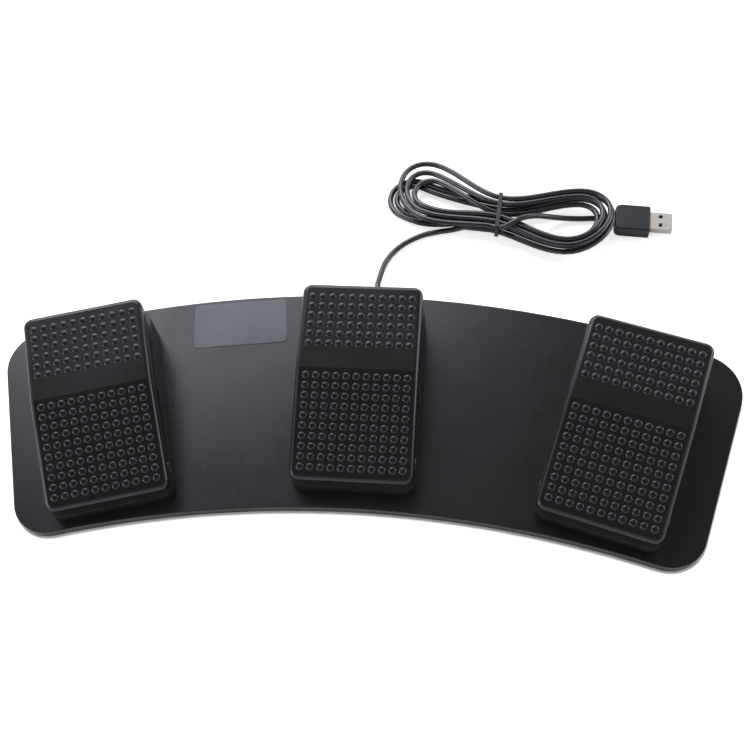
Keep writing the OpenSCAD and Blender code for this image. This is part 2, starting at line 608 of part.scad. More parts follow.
// Controller and wires
module controller_board() color([0.08, 0.3, 0.16]) at_pedal(0)
    translate([-pcb_size[0] / 2, pcb_v - pcb_size[1] / 2, pcb_z]) cube(pcb_size);
module controller_chip() color(black) at_pedal(0)
    translate([-chip_size[0] / 2, pcb_v - chip_size[1] / 2 - 4, pcb_top]) cube(chip_size);
function side_wire(i) =
    let (s = -i, lane = fan_r + button_v, da = (drop_u + 9) / lane * 180 / PI)
    concat([for (p = [[wire_exit, wire_z], [wire_exit + 2.2, wire_z], [drop_u - 0.9, board_top + 0.6],
            [drop_u + 0.7, cavity_top - 0.6], [drop_u + 3.6, wire_low]]) pedal_pt(i, [s * p[0], button_v, p[1]])],
        [for (k = [0 : 4]) let (a = 90 - i * (fan_angle - da - (fan_angle - 2 * da) * k / 4))
            [lane * cos(a), lane * sin(a) - fan_y, wire_low]],
        [for (p = [[drop_u + 3.6, 0, wire_low], [drop_u + 0.7, 0, cavity_top - 0.6], [drop_u - 0.9, 0.5, board_top + 1.4],
            [drop_u - 3, 6, pad_z - 1.2], [15.5, 13, pad_z + 0.2], [15, 19, pad_z], [15, 22, pad_z]])
            pedal_pt(0, [-s * p[0], button_v + p[1], p[2]])]);
centre_wire_pts = [for (p = [[wire_exit, 0, wire_z], [wire_exit + 2, 0, wire_z], [wire_exit + 1.6, 5, wire_z + 1],
    [11.5, 10, pad_z - 0.2], [10, 15, pad_z + 0.1], [10, 19, pad_z], [10, 21.5, pad_z]])
    pedal_pt(0, [p[0], button_v + p[1], p[2]])];
module left_wire() color([0.5, 0.1, 0.1]) tube(straight_ends(side_wire(-1), 2), wire_d / 2);
module right_wire() color([0.1, 0.2, 0.5]) tube(straight_ends(side_wire(1), 2), wire_d / 2);
module centre_wire() color([0.6, 0.55, 0.1]) tube(straight_ends(centre_wire_pts, 2), wire_d / 2);

// Cable, strain relief, hank and tie
gland_in = cover_wall + 1.5;
cable_grip = 8;
inner_pts = concat([[gland_x, back_y - gland_in, gland_z], [gland_x, back_y - gland_in - cord_d, gland_z]],
    [for (p = inner_mid) [gland_x, fan_r - fan_y + p[0], p[1]]],
    [[gland_x, fan_r - fan_y + pcb_v + pcb_size[1] / 2 - cable_grip, pcb_top + cord_r + 0.1]]);
module inner_cable() color(black) tube(straight_ends(inner_pts, 2), cord_r);
module strain_relief() color(dark)
    translate([gland_x, back_y - gland_in, gland_z]) rotate([-90, 0, 0]) rotate_extrude($fn = 32)
        polygon([[0, 0], [gland_d / 2, 0], [gland_d / 2, gland_in + 2], [cord_r, gland_in + 2.4],
            [cord_r, gland_in + 3.4], [gland_d / 2 - 0.05, gland_in + 3.8], [gland_d / 2 - 0.05, gland_in + 5],
            [cord_r, gland_in + 5.4], [cord_r, gland_in + 6.2], [gland_d / 2 - 0.1, gland_in + 6.6],
            [gland_d / 2 - 0.1, gland_in + gland_len], [0, gland_in + gland_len]]);
module cable_lead() color(black) tube(straight_ends(lead_pts, 2), cord_r);
module cable_hank() color(black) tube(hank_pts, cord_r, 6);
module cable_tail() color(black) tube(straight_ends(tail_pts, 2), cord_r);
tie_clear = 0.35;
tie_low = hank_lift(0) - cord_r - tie_clear;
tie_high = tail_mid[1][2] + cord_r + tie_clear;
tie_y = (min(hank_waist) - 0.3 + max(hank_waist)) / 2;
tie_half = (max(hank_waist) - min(hank_waist) + 0.3) / 2 + cord_r + tie_clear;
module tie_ring(grow)
    translate([tie_y, tie_low - grow]) rounded(2 * (tie_half + grow), 0, tie_high - tie_low + 2 * grow, 1.5 + grow);
module hank_tie() color(dark)
    translate([hank_at[0], hank_at[1], 0]) rotate(hank_turn) across(tie_w) difference() {
        tie_ring(tie_t);
        tie_ring(0);
    }

// Plug: x runs along it, from the cable to the metal end
module at_plug() translate([plug_at[0], plug_at[1], plug_z]) rotate(plug_turn) children();
module grip_plan(inset) let (h = grip_size[1] / 2 - inset)
    polygon([[0, -h + 4 - inset], [3.4, -h], [grip_size[0], -h], [grip_size[0], h], [3.4, h], [0, h - 4 + inset]]);
module plug_grip() color(black) at_plug() hull() {
    translate([0, 0, -grip_size[2] / 2 + 1]) linear_extrude(grip_size[2] - 2) grip_plan(0);
    translate([0, 0, -grip_size[2] / 2]) linear_extrude(grip_size[2]) grip_plan(1);
}
module plug_shell() color(steel) at_plug() translate([grip_size[0], 0, 0]) difference() {
    translate([0, -shell_size[1] / 2, -shell_size[2] / 2]) cube(shell_size);
    translate([-1, shell_t - shell_size[1] / 2, shell_t - shell_size[2] / 2])
        cube([shell_size[0] + 2, shell_size[1] - 2 * shell_t, shell_size[2] - 2 * shell_t]);
    for (s = [-1, 1]) translate([shell_size[0] * 0.4, s * 3.1 - 1.2, -shell_size[2]])
        cube([2.2, 2.4, 2 * shell_size[2]]);
}
tongue_low = shell_t - shell_size[2] / 2 + 0.05;
module plug_tongue() color(dark) at_plug()
    translate([grip_size[0], shell_t + 0.05 - shell_size[1] / 2, tongue_low])
        cube([shell_size[0] - 0.8, shell_size[1] - 2 * shell_t - 0.1, tongue_t]);
module plug_contacts() color([0.85, 0.7, 0.3]) at_plug()
    for (k = [-1.5 : 1 : 1.5]) translate([grip_size[0] + shell_size[0] - 9, k * 2.4 - 0.5, tongue_low + tongue_t])
        cube([7.6, 1, 0.15]);

base_plate();
board_cover();
rubber_feet();
pedal_screws();
edge_screws();
at_pedal(-1) pedal_base();  // left_base
at_pedal(-1) treadle();  // left_treadle
at_pedal(-1) hinge_pin();  // left_hinge_pin
at_pedal(-1) spring();  // left_spring
at_pedal(-1) switch_body(1);  // left_switch
at_pedal(-1) button();  // left_button
at_pedal(0) pedal_base();  // centre_base
at_pedal(0) treadle();  // centre_treadle
at_pedal(0) hinge_pin();  // centre_hinge_pin
at_pedal(0) spring();  // centre_spring
at_pedal(0) switch_body(1);  // centre_switch
at_pedal(0) button();  // centre_button
at_pedal(1) pedal_base();  // right_base
at_pedal(1) treadle();  // right_treadle
at_pedal(1) hinge_pin();  // right_hinge_pin
at_pedal(1) spring();  // right_spring
at_pedal(1) switch_body(-1);  // right_switch
at_pedal(1) button();  // right_button
controller_board();
controller_chip();
left_wire();
centre_wire();
right_wire();
inner_cable();
strain_relief();
cable_lead();
cable_hank();
cable_tail();
hank_tie();
plug_grip();
plug_shell();
plug_tongue();
plug_contacts();
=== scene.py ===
# %% [markdown]
# # A three-pedal foot switch
# An arc-shaped board carries three sprung treadles side by side, and a thin cable with a flat plug lies behind
# it in a tied hank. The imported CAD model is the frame: every piece here is modelled where the frame says, in
# the same metres, and rides on one of its bodies.

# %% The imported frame
import math

import bmesh
import bpy
from mathutils import Matrix, Vector


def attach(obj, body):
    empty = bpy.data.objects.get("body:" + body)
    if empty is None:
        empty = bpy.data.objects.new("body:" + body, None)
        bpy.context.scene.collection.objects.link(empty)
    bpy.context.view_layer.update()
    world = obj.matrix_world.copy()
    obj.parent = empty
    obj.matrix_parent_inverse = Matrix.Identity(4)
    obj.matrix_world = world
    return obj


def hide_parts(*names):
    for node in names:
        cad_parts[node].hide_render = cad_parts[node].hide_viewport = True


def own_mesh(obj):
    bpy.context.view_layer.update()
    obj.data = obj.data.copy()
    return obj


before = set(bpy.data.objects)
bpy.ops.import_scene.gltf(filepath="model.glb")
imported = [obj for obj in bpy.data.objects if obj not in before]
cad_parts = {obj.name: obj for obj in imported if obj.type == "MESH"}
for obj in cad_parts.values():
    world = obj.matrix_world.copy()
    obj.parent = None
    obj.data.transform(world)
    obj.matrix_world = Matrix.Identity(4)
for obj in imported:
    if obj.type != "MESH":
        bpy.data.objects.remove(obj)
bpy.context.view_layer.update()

# %% [markdown]
# ## The camera
# The camera comes first, because a piece that is only seen from here can hide faults. Its place was worked out
# from the straight rows of studs on the treadles, which behave like the squares of a calibration board. The
# three vectors are the camera's right, up and backward directions in the object's frame.

# %% Camera
MM = 0.001
FAN_Y = 529.518  # the pedals fan out round a point this far in front of the origin, in mm
IMAGE_SIZE, FOCAL_LENGTH, SENSOR = 750, 1032.6, 36  # pixels, pixels, mm
CAMERA_AT = Vector((62.04, 285.20 - FAN_Y, 531.90))
camera_data = bpy.data.cameras.new("view_camera")
camera_data.sensor_width = SENSOR
camera_data.lens = FOCAL_LENGTH * SENSOR / IMAGE_SIZE
camera_data.clip_start, camera_data.clip_end = 0.01, 50
camera = bpy.data.objects.new("view_camera", camera_data)
bpy.context.scene.collection.objects.link(camera)
right = Vector((0.99479571, 0.07852354, -0.06492725))
up = Vector((-0.03978967, 0.88602708, 0.46192292))
back = Vector((0.09379913, -0.45693551, 0.88454037))
turn = Matrix((right, up, back)).transposed().to_4x4()
camera.matrix_world = Matrix.Translation(CAMERA_AT * MM) @ turn
bpy.context.scene.camera = camera
print("camera", tuple(round(x, 3) for x in camera.location))

# %% [markdown]
# ## The cable
# The cable is one unbroken cord of 3.4 mm: it leaves the board behind the centre pedal, runs over the floor into
# a hank of five loops, and comes out under the hank's end to the plug. A loop is like a bone: a round end on
# either side of a narrow waist. Giving every loop its own two ends is what makes a hand-wound hank look wound by
# hand. The first loops lie on the floor, each inside the last, and the later ones come back out on top of them.
# A cord takes no bend much tighter than three times its thickness, so the small folds on the left are rolled as
# true half circles.

# %% Sizes of the cable and the hank
CORD_R, STRAND_PITCH = 1.7, 4.3
COVER_R = 608  # radius of the board's back edge about the fan's point
BACK_Y = COVER_R - FAN_Y
CABLE_X, CABLE_Z = 3, 5.2  # where the cable goes through the board's back wall
GLAND = Vector((CABLE_X, BACK_Y + 8, CABLE_Z))
PLUG_AT, PLUG_TURN = Vector((145.2, 142.5, 4.2)), math.radians(-3.6)
HANK_AT, HANK_TURN, HANK_BEND = (72.9, 143.1), math.radians(-14), 0.0023
HANK_LAYER, HANK_RISE, HANK_CLIMB, HANK_FROM = 4.0, 6.4, 26.0, -10.0
# reach from the waist, radius and sideways place of each loop's ends, then the strands' places at the waist
HANK_RIGHT = [(69.4, 22.6, 0.9), (65.1, 18.3, 0.9), (60.8, 14, 0.9), (63.2, 16.6, 1.6), (67.6, 21, 1.6)]
HANK_LEFT = [(68.6, 14.9, -7.4), (64.3, 10.8, -7.4), (53.9, 10.4, -1), (60, 14.8, -0.7), (64.8, 20.6, 0.6)]
HANK_ROLLED = (1, 3, 5)  # half loops with a small left fold, rolled round so that the bend doesn't pinch it
HANK_WAIST = [-11.6, 8.9, -7.3, 4.6, -3, 0.4, -3.2, 6.4, -7.6, 10.8, -12]
HALVES = 2 * len(HANK_RIGHT)
print("hank of", len(HANK_RIGHT), "loops")


# %% Half a loop
def smooth_step(x):
    x = min(max(x, 0), 1)
    return x * x * (3 - 2 * x)


def mix(a, b, k):
    return a + (b - a) * k


def hank_place(x, y, z):
    y += HANK_BEND * x * x
    c, s = math.cos(HANK_TURN), math.sin(HANK_TURN)
    return Vector((HANK_AT[0] + x * c - y * s, HANK_AT[1] + x * s + y * c, z))


def hank_lift(x):
    return CORD_R + HANK_RISE * (x + HANK_RIGHT[0][0]) / (2 * HANK_RIGHT[0][0])


def rolled_fold(reach, radius, mid, rounds):
    """A left fold as a true half circle across the bent hank, then straight back to the neck."""
    middle = reach - radius
    for _ in range(20):  # the lean and the start of the fold depend on each other, and settle in a few rounds
        lean = math.atan(2 * HANK_BEND * middle)
        middle = reach - radius * math.cos(lean) * (1 + math.sin(lean))
    outward, across = Vector((-math.cos(lean), math.sin(lean))), Vector((-math.sin(lean), -math.cos(lean)))
    start = Vector((-middle, mid + radius + HANK_BEND * middle ** 2))
    bend, straight = radius * math.cos(lean), 2 * radius * math.sin(lean)
    arc = []
    for k in range(rounds + 1):
        run = (math.pi * bend + straight) * k / rounds
        g = min(run / bend, math.pi)
        p = start + outward * (bend * math.sin(g) - max(run - math.pi * bend, 0)) + across * bend * (1 - math.cos(g))
        arc.append((p.x, p.y - HANK_BEND * p.x ** 2))
    return middle, arc


def half_loop(side, end, start, stop, rolled, necks=10, rounds=16):
    reach, radius, mid = end
    middle, low, high = reach - radius, mid - side * radius, mid + side * radius
    turns = [math.pi * k / rounds for k in range(rounds + 1)]
    arc = [(side * (middle + radius * math.sin(g)), mid - side * radius * math.cos(g)) for g in turns]
    if rolled:
        middle, arc = rolled_fold(reach, radius, mid, rounds)
    out = [(side * middle * k / necks, mix(start, low, smooth_step(k / necks))) for k in range(necks)]
    return out + arc + [(side * middle * (1 - k / necks), mix(high, stop, smooth_step(k / necks)))
                        for k in range(1, necks)]


def layer_at(half, x, y):
    if half in (4, 5) and y > 0:
        return smooth_step((HANK_CLIMB - x) / (2 * HANK_CLIMB))
    return 0 if half < 5 else 1


# %% Smooth curves
def eased(points, n):
    out = []
    for i in range(len(points) - 1):
        p0, p1, p2, p3 = (points[min(max(k, 0), len(points) - 1)] for k in (i - 1, i, i + 1, i + 2))
        for k in range(n):
            t = k / n
            out.append(0.5 * (2 * p1 + (p2 - p0) * t + (2 * p0 - 5 * p1 + 4 * p2 - p3) * t * t
                              + (3 * p1 - p0 - 3 * p2 + p3) * t ** 3))
    return out + [points[-1]]


def straight_ends(points, n):
    return [points[0]] + eased(points[1:-1], n) + [points[-1]]


def straight_end(p, q):
    return p + (p - q).normalized() * 2 * CORD_R


def neck_y(end, waist, low):
    return mix(waist, low, smooth_step(-HANK_FROM / (end[0] - end[1])))


# %% Cable route
flat = [(HANK_FROM, neck_y(HANK_LEFT[0], HANK_WAIST[0], HANK_LEFT[0][2] - HANK_LEFT[0][1] - STRAND_PITCH), 0)]
for half in range(HALVES):
    side = 1 if half % 2 == 0 else -1
    end = (HANK_RIGHT if side > 0 else HANK_LEFT)[half // 2]
    for x, y in half_loop(side, end, HANK_WAIST[half], HANK_WAIST[half + 1], half in HANK_ROLLED):
        if half < HALVES - 1 or y > 0 or x < HANK_FROM - 4:
            flat.append((x, y, layer_at(half, x, y)))
flat.append((HANK_FROM, neck_y(HANK_LEFT[-1], HANK_WAIST[-1], HANK_LEFT[-1][2] - HANK_LEFT[-1][1]), 1))
loops = [hank_place(x, y, hank_lift(x) + HANK_LAYER * k) for x, y, k in flat]
hank_start, hank_end = straight_end(loops[0], loops[1]), straight_end(loops[-1], loops[-2])
lead = [GLAND, GLAND + Vector((0, 2 * CORD_R, 0))] + [Vector(p) for p in (
    (5.5, 105, 2.4), (10, 114.5, 1.8), (17, 122, 1.8), (27, 128.2, 1.8), (37, 131.4, 1.8), (46, 133, 2.3))]
lead += [straight_end(hank_start, loops[0]), hank_start]
tail = [hank_end, straight_end(hank_end, loops[-1])] + [hank_place(*p) for p in (
    (2, -11.75, 9.1), (8, -11.6, 11.2), (13, -8.2, 13.4), (18, -3.6, 13.2), (25, 1, 10.4),
    (33, 4.2, 6.4), (41, 6.4, 3.4), (50, 7.6, 2.2), (59, 8.2, 2.2))]
along_plug = Vector((math.cos(PLUG_TURN), math.sin(PLUG_TURN), 0))
tail += [PLUG_AT - along_plug * 2 * CORD_R, PLUG_AT]
route = [p * MM for p in straight_ends(lead, 6)[:-1] + loops + straight_ends(tail, 6)]


# %% Cords as curves
def cord_piece(name, points, radius, slot, *nodes):
    curve = bpy.data.curves.new(name, "CURVE")
    curve.dimensions = "3D"
    spline = curve.splines.new("POLY")
    spline.points.add(len(points) - 1)
    for point, place in zip(spline.points, points):
        point.co, point.radius = (*place, 1), radius * MM
    spline.use_smooth = True
    curve.bevel_depth = 1
    curve.bevel_resolution = 5
    curve.use_fill_caps = True
    piece = bpy.data.objects.new(name, curve)
    bpy.context.scene.collection.objects.link(piece)
    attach(piece, "board")
    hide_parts(*nodes)
    print(name, len(points), "points")
    return piece


cable = cord_piece("cable", route, CORD_R, "cable_jacket", "cable_lead", "cable_hank", "cable_tail")

# %% [markdown]
# ## Materials
# Almost everything here is black, so the finish has to come from gloss and grain rather than from colour. Each
# plastic gets a slow drift between two near blacks, a roughness that wanders, and a fine eroded grain as bump,
# like the spark-eroded mould it came from. The metals get a brushed or galvanised streak instead.

# %% Material helpers
def new_material(name):
    material = bpy.data.materials.new(name)
    material.use_nodes = True
    return material, material.node_tree.nodes, material.node_tree.links, material.node_tree.nodes["Principled BSDF"]


def noise(nodes, links, coords, scale, detail=2.0, rough=0.5, stretch=None):
    texture = nodes.new("ShaderNodeTexNoise")
    texture.inputs["Scale"].default_value = scale
    texture.inputs["Detail"].default_value = detail
    texture.inputs["Roughness"].default_value = rough
    source = coords.outputs["Object"]
    if stretch:
        mapping = nodes.new("ShaderNodeMapping")
        mapping.inputs["Scale"].default_value = stretch
        links.new(source, mapping.inputs["Vector"])
        source = mapping.outputs["Vector"]
    links.new(source, texture.inputs["Vector"])
    return texture


def ramp(nodes, links, source, stops):
    node = nodes.new("ShaderNodeValToRGB")
    while len(node.color_ramp.elements) < len(stops):
        node.color_ramp.elements.new(0.5)
    for element, (place, colour) in zip(node.color_ramp.elements, stops):
        element.position, element.color = place, (*colour, 1)
    links.new(source, node.inputs["Fac"])
    return node


def span(nodes, links, source, low, high):
    node = nodes.new("ShaderNodeMapRange")
    node.inputs["From Min"].default_value, node.inputs["From Max"].default_value = 0.3, 0.7
    node.inputs["To Min"].default_value, node.inputs["To Max"].default_value = low, high
    links.new(source, node.inputs["Value"])
    return node


def grain_bump(nodes, links, shader, height, strength, distance):
    bump = nodes.new("ShaderNodeBump")
    bump.inputs["Strength"].default_value = strength
    bump.inputs["Distance"].default_value = distance
    links.new(height, bump.inputs["Height"])
    links.new(bump.outputs["Normal"], shader.inputs["Normal"])


def moulded_plastic(name, dark, light, gloss, grain=1400, depth=0.25, drift=9, shine=0.5):
    material, nodes, links, shader = new_material(name)
    shader.inputs["Specular IOR Level"].default_value = shine
    shader.inputs["Specular Tint"].default_value = (0.86, 0.88, 1.0, 1)
    coords = nodes.new("ShaderNodeTexCoord")
    cloud = noise(nodes, links, coords, drift, 3)
    links.new(ramp(nodes, links, cloud.outputs["Fac"], [(0.3, dark), (0.7, light)]).outputs["Color"],
              shader.inputs["Base Color"])
    handled = noise(nodes, links, coords, 38, 4, 0.6)
    links.new(span(nodes, links, handled.outputs["Fac"], gloss - 0.03, gloss + 0.04).outputs["Result"],
              shader.inputs["Roughness"])
    fine = noise(nodes, links, coords, grain, 2, 0.6)
    grain_bump(nodes, links, shader, fine.outputs["Fac"], depth, 0.00012)
    return material


def streaked_metal(name, dark, light, gloss, stretch, scale=60, depth=0.08, metallic=1.0):
    material, nodes, links, shader = new_material(name)
    shader.inputs["Metallic"].default_value = metallic
    coords = nodes.new("ShaderNodeTexCoord")
    streak = noise(nodes, links, coords, scale, 5, 0.65, stretch)
    links.new(ramp(nodes, links, streak.outputs["Fac"], [(0.3, dark), (0.7, light)]).outputs["Color"],
              shader.inputs["Base Color"])
    links.new(span(nodes, links, streak.outputs["Fac"], gloss - 0.06, gloss + 0.08).outputs["Result"],
              shader.inputs["Roughness"])
    grain_bump(nodes, links, shader, streak.outputs["Fac"], depth, 0.0001)
    return material


# %% Finishes
board_black = moulded_plastic("board_black", (0.0098, 0.0098, 0.0107), (0.0110, 0.0110, 0.0120), 0.275, 1500, 0.06,
                              shine=0.33)
treadle_black = moulded_plastic("treadle_black", (0.0068, 0.0068, 0.0073), (0.0092, 0.0092, 0.0098), 0.25, 1600, 0.12)
base_black = moulded_plastic("base_black", (0.0105, 0.0105, 0.0112), (0.0135, 0.0135, 0.0142), 0.36, 1500, 0.2)
cable_black = moulded_plastic("cable_black", (0.0075, 0.0077, 0.0083), (0.0110, 0.0112, 0.012), 0.2, 2200, 0.06,
                              drift=20, shine=0.8)
grip_black = moulded_plastic("grip_black", (0.006, 0.006, 0.0066), (0.0085, 0.0085, 0.0093), 0.38, 1800, 0.16)
tie_grey = moulded_plastic("tie_grey", (0.0105, 0.0107, 0.0113), (0.0145, 0.0147, 0.0154), 0.46, 1500, 0.15)
label_satin = moulded_plastic("label_satin", (0.030, 0.034, 0.043), (0.038, 0.043, 0.053), 0.34, 900, 0.04)
foot_rubber = moulded_plastic("foot_rubber", (0.015, 0.015, 0.015), (0.024, 0.024, 0.024), 0.75, 900, 0.35)
switch_black = moulded_plastic("switch_black", (0.012, 0.012, 0.013), (0.02, 0.02, 0.021), 0.4, 1200, 0.15)
button_red = moulded_plastic("button_red", (0.36, 0.035, 0.03), (0.45, 0.05, 0.042), 0.28, 1500, 0.08)
laminate_green = moulded_plastic("laminate_green", (0.012, 0.09, 0.035), (0.018, 0.12, 0.05), 0.3, 700, 0.12, 40)
wire_red = moulded_plastic("wire_red", (0.28, 0.03, 0.028), (0.36, 0.045, 0.04), 0.35, 1500, 0.08)
tongue_black = moulded_plastic("tongue_black", (0.02, 0.02, 0.021), (0.03, 0.03, 0.032), 0.45, 1600, 0.1)
plate_steel = streaked_metal("plate_steel", (0.8, 0.8, 0.775), (0.9, 0.9, 0.87), 0.45, (1, 1, 1), 70, 0.08, 0.15)
bright_steel = streaked_metal("bright_steel", (0.5, 0.5, 0.51), (0.68, 0.68, 0.69), 0.28, (1, 1, 1), 400)
dark_steel = streaked_metal("dark_steel", (0.06, 0.06, 0.062), (0.11, 0.11, 0.112), 0.34, (1, 1, 1), 400)
plug_metal = streaked_metal("plug_metal", (0.45, 0.42, 0.41), (0.52, 0.49, 0.475), 0.36, (40, 400, 400), 4, 0.04, 0.7)
contact_gold = streaked_metal("contact_gold", (0.75, 0.56, 0.2), (0.9, 0.7, 0.3), 0.22, (1, 1, 1), 500)
cable.data.materials.append(cable_black)
node_finish = dict(base_plate=plate_steel, board_cover=board_black, rubber_feet=foot_rubber, pedal_screws=bright_steel,
                   edge_screws=bright_steel, controller_board=laminate_green, controller_chip=switch_black,
                   left_wire=wire_red, centre_wire=wire_red, right_wire=wire_red, inner_cable=cable_black,
                   cable_lead=cable_black, cable_hank=cable_black, cable_tail=cable_black,
                   strain_relief=cable_black, hank_tie=tie_grey, plug_grip=grip_black, plug_shell=plug_metal,
                   plug_tongue=tongue_black, plug_contacts=contact_gold)
for side in ("left", "centre", "right"):
    node_finish.update({side + "_base": base_black, side + "_treadle": treadle_black, side + "_hinge_pin": dark_steel,
                        side + "_spring": bright_steel, side + "_switch": switch_black, side + "_button": button_red})
for name, material in node_finish.items():
    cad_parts[name].data.materials.clear()
    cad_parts[name].data.materials.append(material)
print(len(node_finish), "nodes have a finish")

# %% [markdown]
# ## Helpers for the pieces
# Every piece is drawn in millimetres in a small frame of its own and only then moved into place, inside its mesh,
# so that its object can stay at the origin. Pedals share one drawing: a pedal is turned about the fan's centre,
# in front of the board. Weighted normals keep big flat faces flat beside their rounded edges.

# %% Piece helpers
SIDES = {"left": -1, "centre": 0, "right": 1}
FAN_R, FAN_ANGLE = 541, 15.4
IN_MM = Matrix.Scale(MM, 4)
SHARP_EDGE = 40  # degrees: a sharper edge of a CAD copy is rounded


def pedal_place(i):
    return (IN_MM @ Matrix.Translation((0, -FAN_Y, 0)) @ Matrix.Rotation(math.radians(-i * FAN_ANGLE), 4, "Z")
            @ Matrix.Translation((0, FAN_R, 0)))


def everything(bm):
    return bm.verts[:] + bm.edges[:] + bm.faces[:]


def new_verts(made):
    return [g for g in made["geom"] if isinstance(g, bmesh.types.BMVert)]


def round_edges(bm, edges, offset, segments):
    bmesh.ops.bevel(bm, geom=edges, offset=offset, segments=segments, profile=0.5, affect="EDGES", material=-1)


def add_part(bm, part):
    mesh = bpy.data.meshes.new("part")
    part.to_mesh(mesh)
    part.free()
    bm.from_mesh(mesh)
    bpy.data.meshes.remove(mesh)


def make_piece(name, bm, body, material, slot, *nodes, sharp=32):
    mesh = bpy.data.meshes.new(name)
    bm.normal_update()
    creases = [e.index for e in bm.edges if not e.smooth]
    bm.to_mesh(mesh)
    bm.free()
    mesh.shade_smooth()
    mesh.set_sharp_from_angle(angle=math.radians(sharp))
    for index in creases:
        mesh.edges[index].use_edge_sharp = True
    mesh.materials.append(material)
    piece = bpy.data.objects.new(name, mesh)
    bpy.context.scene.collection.objects.link(piece)
    weighted = piece.modifiers.new("flat_faces", "WEIGHTED_NORMAL")
    weighted.keep_sharp = True
    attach(piece, body)
    if nodes:
        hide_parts(*nodes)
    print(name, len(mesh.polygons), "faces")
    return piece


def soft_edged(name, node, width, body, material, slot):
    bm = bmesh.new()
    bm.from_mesh(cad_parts[node].data)
    bmesh.ops.remove_doubles(bm, verts=bm.verts, dist=2e-6)
    bmesh.ops.dissolve_limit(bm, angle_limit=math.radians(0.5), verts=bm.verts, edges=bm.edges)
    piece = make_piece(name, bm, body, material, slot, node)
    rounding = piece.modifiers.new("rounding", "BEVEL")
    rounding.width, rounding.segments, rounding.profile = width * MM, 3, 0.5
    rounding.limit_method, rounding.angle_limit = "ANGLE", math.radians(SHARP_EDGE)
    piece.modifiers.move(1, 0)


# %% [markdown]
# ## The cover
# The cover is a shallow moulded tray, upside down, whose outline is made of arcs only: a long one behind, a
# second one in front, and a rounded corner at each end. A single point, spun about one arc's centre after the
# other, draws half of the outline, and a mirror gives the rest. Then the face is pulled up and its edge rounded.
# Four short posts on it, under the centre pedal, carry the controller board.

# %% Cover
def arc_on(bm, last, centre, angle, steps):
    made = bmesh.ops.spin(bm, geom=[last], cent=(*centre, 0), axis=(0, 0, 1), angle=angle, steps=steps)
    return next(g for g in made["geom_last"] if isinstance(g, bmesh.types.BMVert))


def heading(centre, point):
    return math.atan2(point[1] - centre[1], point[0] - centre[0])


BACK_CORNER, FRONT_CORNER, CORNER_R = (187.218, 553.178), (166.904, 471.035), 20
FRONT_CENTRE, END_ANGLE = (0, -124), math.radians(-16.6)
COVER_Z, COVER_H, COVER_WALL, COVER_HOLLOW = 3, 6, 2, 4
cover = bmesh.new()
point = cover.verts.new((0, COVER_R, 0))
to_corner = heading((0, 0), BACK_CORNER)
point = arc_on(cover, point, (0, 0), to_corner - math.pi / 2, 40)
point = arc_on(cover, point, BACK_CORNER, END_ANGLE - to_corner, 14)
corner_start = cover.verts.new((FRONT_CORNER[0] + CORNER_R * math.cos(END_ANGLE),
                                FRONT_CORNER[1] + CORNER_R * math.sin(END_ANGLE), 0))
cover.edges.new((point, corner_start))
to_front = heading(FRONT_CENTRE, FRONT_CORNER)
point = arc_on(cover, corner_start, FRONT_CORNER, to_front - math.pi - END_ANGLE, 14)
point = arc_on(cover, point, FRONT_CENTRE, math.pi / 2 - to_front, 36)
bmesh.ops.mirror(cover, geom=everything(cover), axis="X", merge_dist=0.01)
bmesh.ops.remove_doubles(cover, verts=cover.verts, dist=0.01)
print("outline", len(cover.verts), "points,", len(cover.edges), "edges")
bmesh.ops.contextual_create(cover, geom=cover.edges[:])
bmesh.ops.recalc_face_normals(cover, faces=cover.faces)
if cover.faces[0].normal.z < 0:
    bmesh.ops.reverse_faces(cover, faces=cover.faces)
raised = bmesh.ops.extrude_face_region(cover, geom=cover.faces[:], use_keep_orig=True)
roof = next(g for g in raised["geom"] if isinstance(g, bmesh.types.BMFace))
bmesh.ops.translate(cover, vec=(0, 0, COVER_H), verts=new_verts(raised))
round_edges(cover, roof.edges[:], 0.4, 3)
floor_side = min(cover.faces, key=lambda f: f.calc_center_median().z if len(f.edges) > 20 else 99)
bmesh.ops.recalc_face_normals(cover, faces=cover.faces)
bmesh.ops.inset_region(cover, faces=[floor_side], thickness=COVER_WALL, use_even_offset=True)
hollow = bmesh.ops.extrude_face_region(cover, geom=[floor_side])
bmesh.ops.delete(cover, geom=[floor_side], context="FACES_ONLY")
bmesh.ops.translate(cover, vec=(0, 0, COVER_HOLLOW), verts=new_verts(hollow))
bmesh.ops.transform(cover, matrix=IN_MM @ Matrix.Translation((0, -FAN_Y, COVER_Z)), verts=cover.verts)

# %% Posts for the controller board
POST_R, POST_H, POST_Z = 2.5, 4, 10
for u, v in ((-15, -6), (-15, 30), (15, -6), (15, 30)):
    post = bmesh.new()
    bmesh.ops.create_cone(post, cap_ends=True, segments=24, radius1=POST_R, radius2=POST_R, depth=POST_H)
    round_edges(post, [e for e in post.edges if all(v.co.z > 1 for v in e.verts)], 0.3, 2)
    bmesh.ops.transform(post, matrix=pedal_place(0) @ Matrix.Translation((u, v, POST_Z)), verts=post.verts)
    add_part(cover, post)
make_piece("cover_shell", cover, "board", board_black, "cover_plastic", "board_cover", sharp=40)

# %% [markdown]
# ## The treadles
# A treadle is a folded plastic lid: a short toe part, a long heel part, a rounded rim and a skirt all round. A box
# is cut across at the fold, its top is set to the two slopes, its four corners are rounded, then its upper rim.
# The heel's end leans under, square to the slope, so that from above it is a dark line and not a wall.
# A second, smaller box is the inside, and a bridge between their lower rims closes the wall.

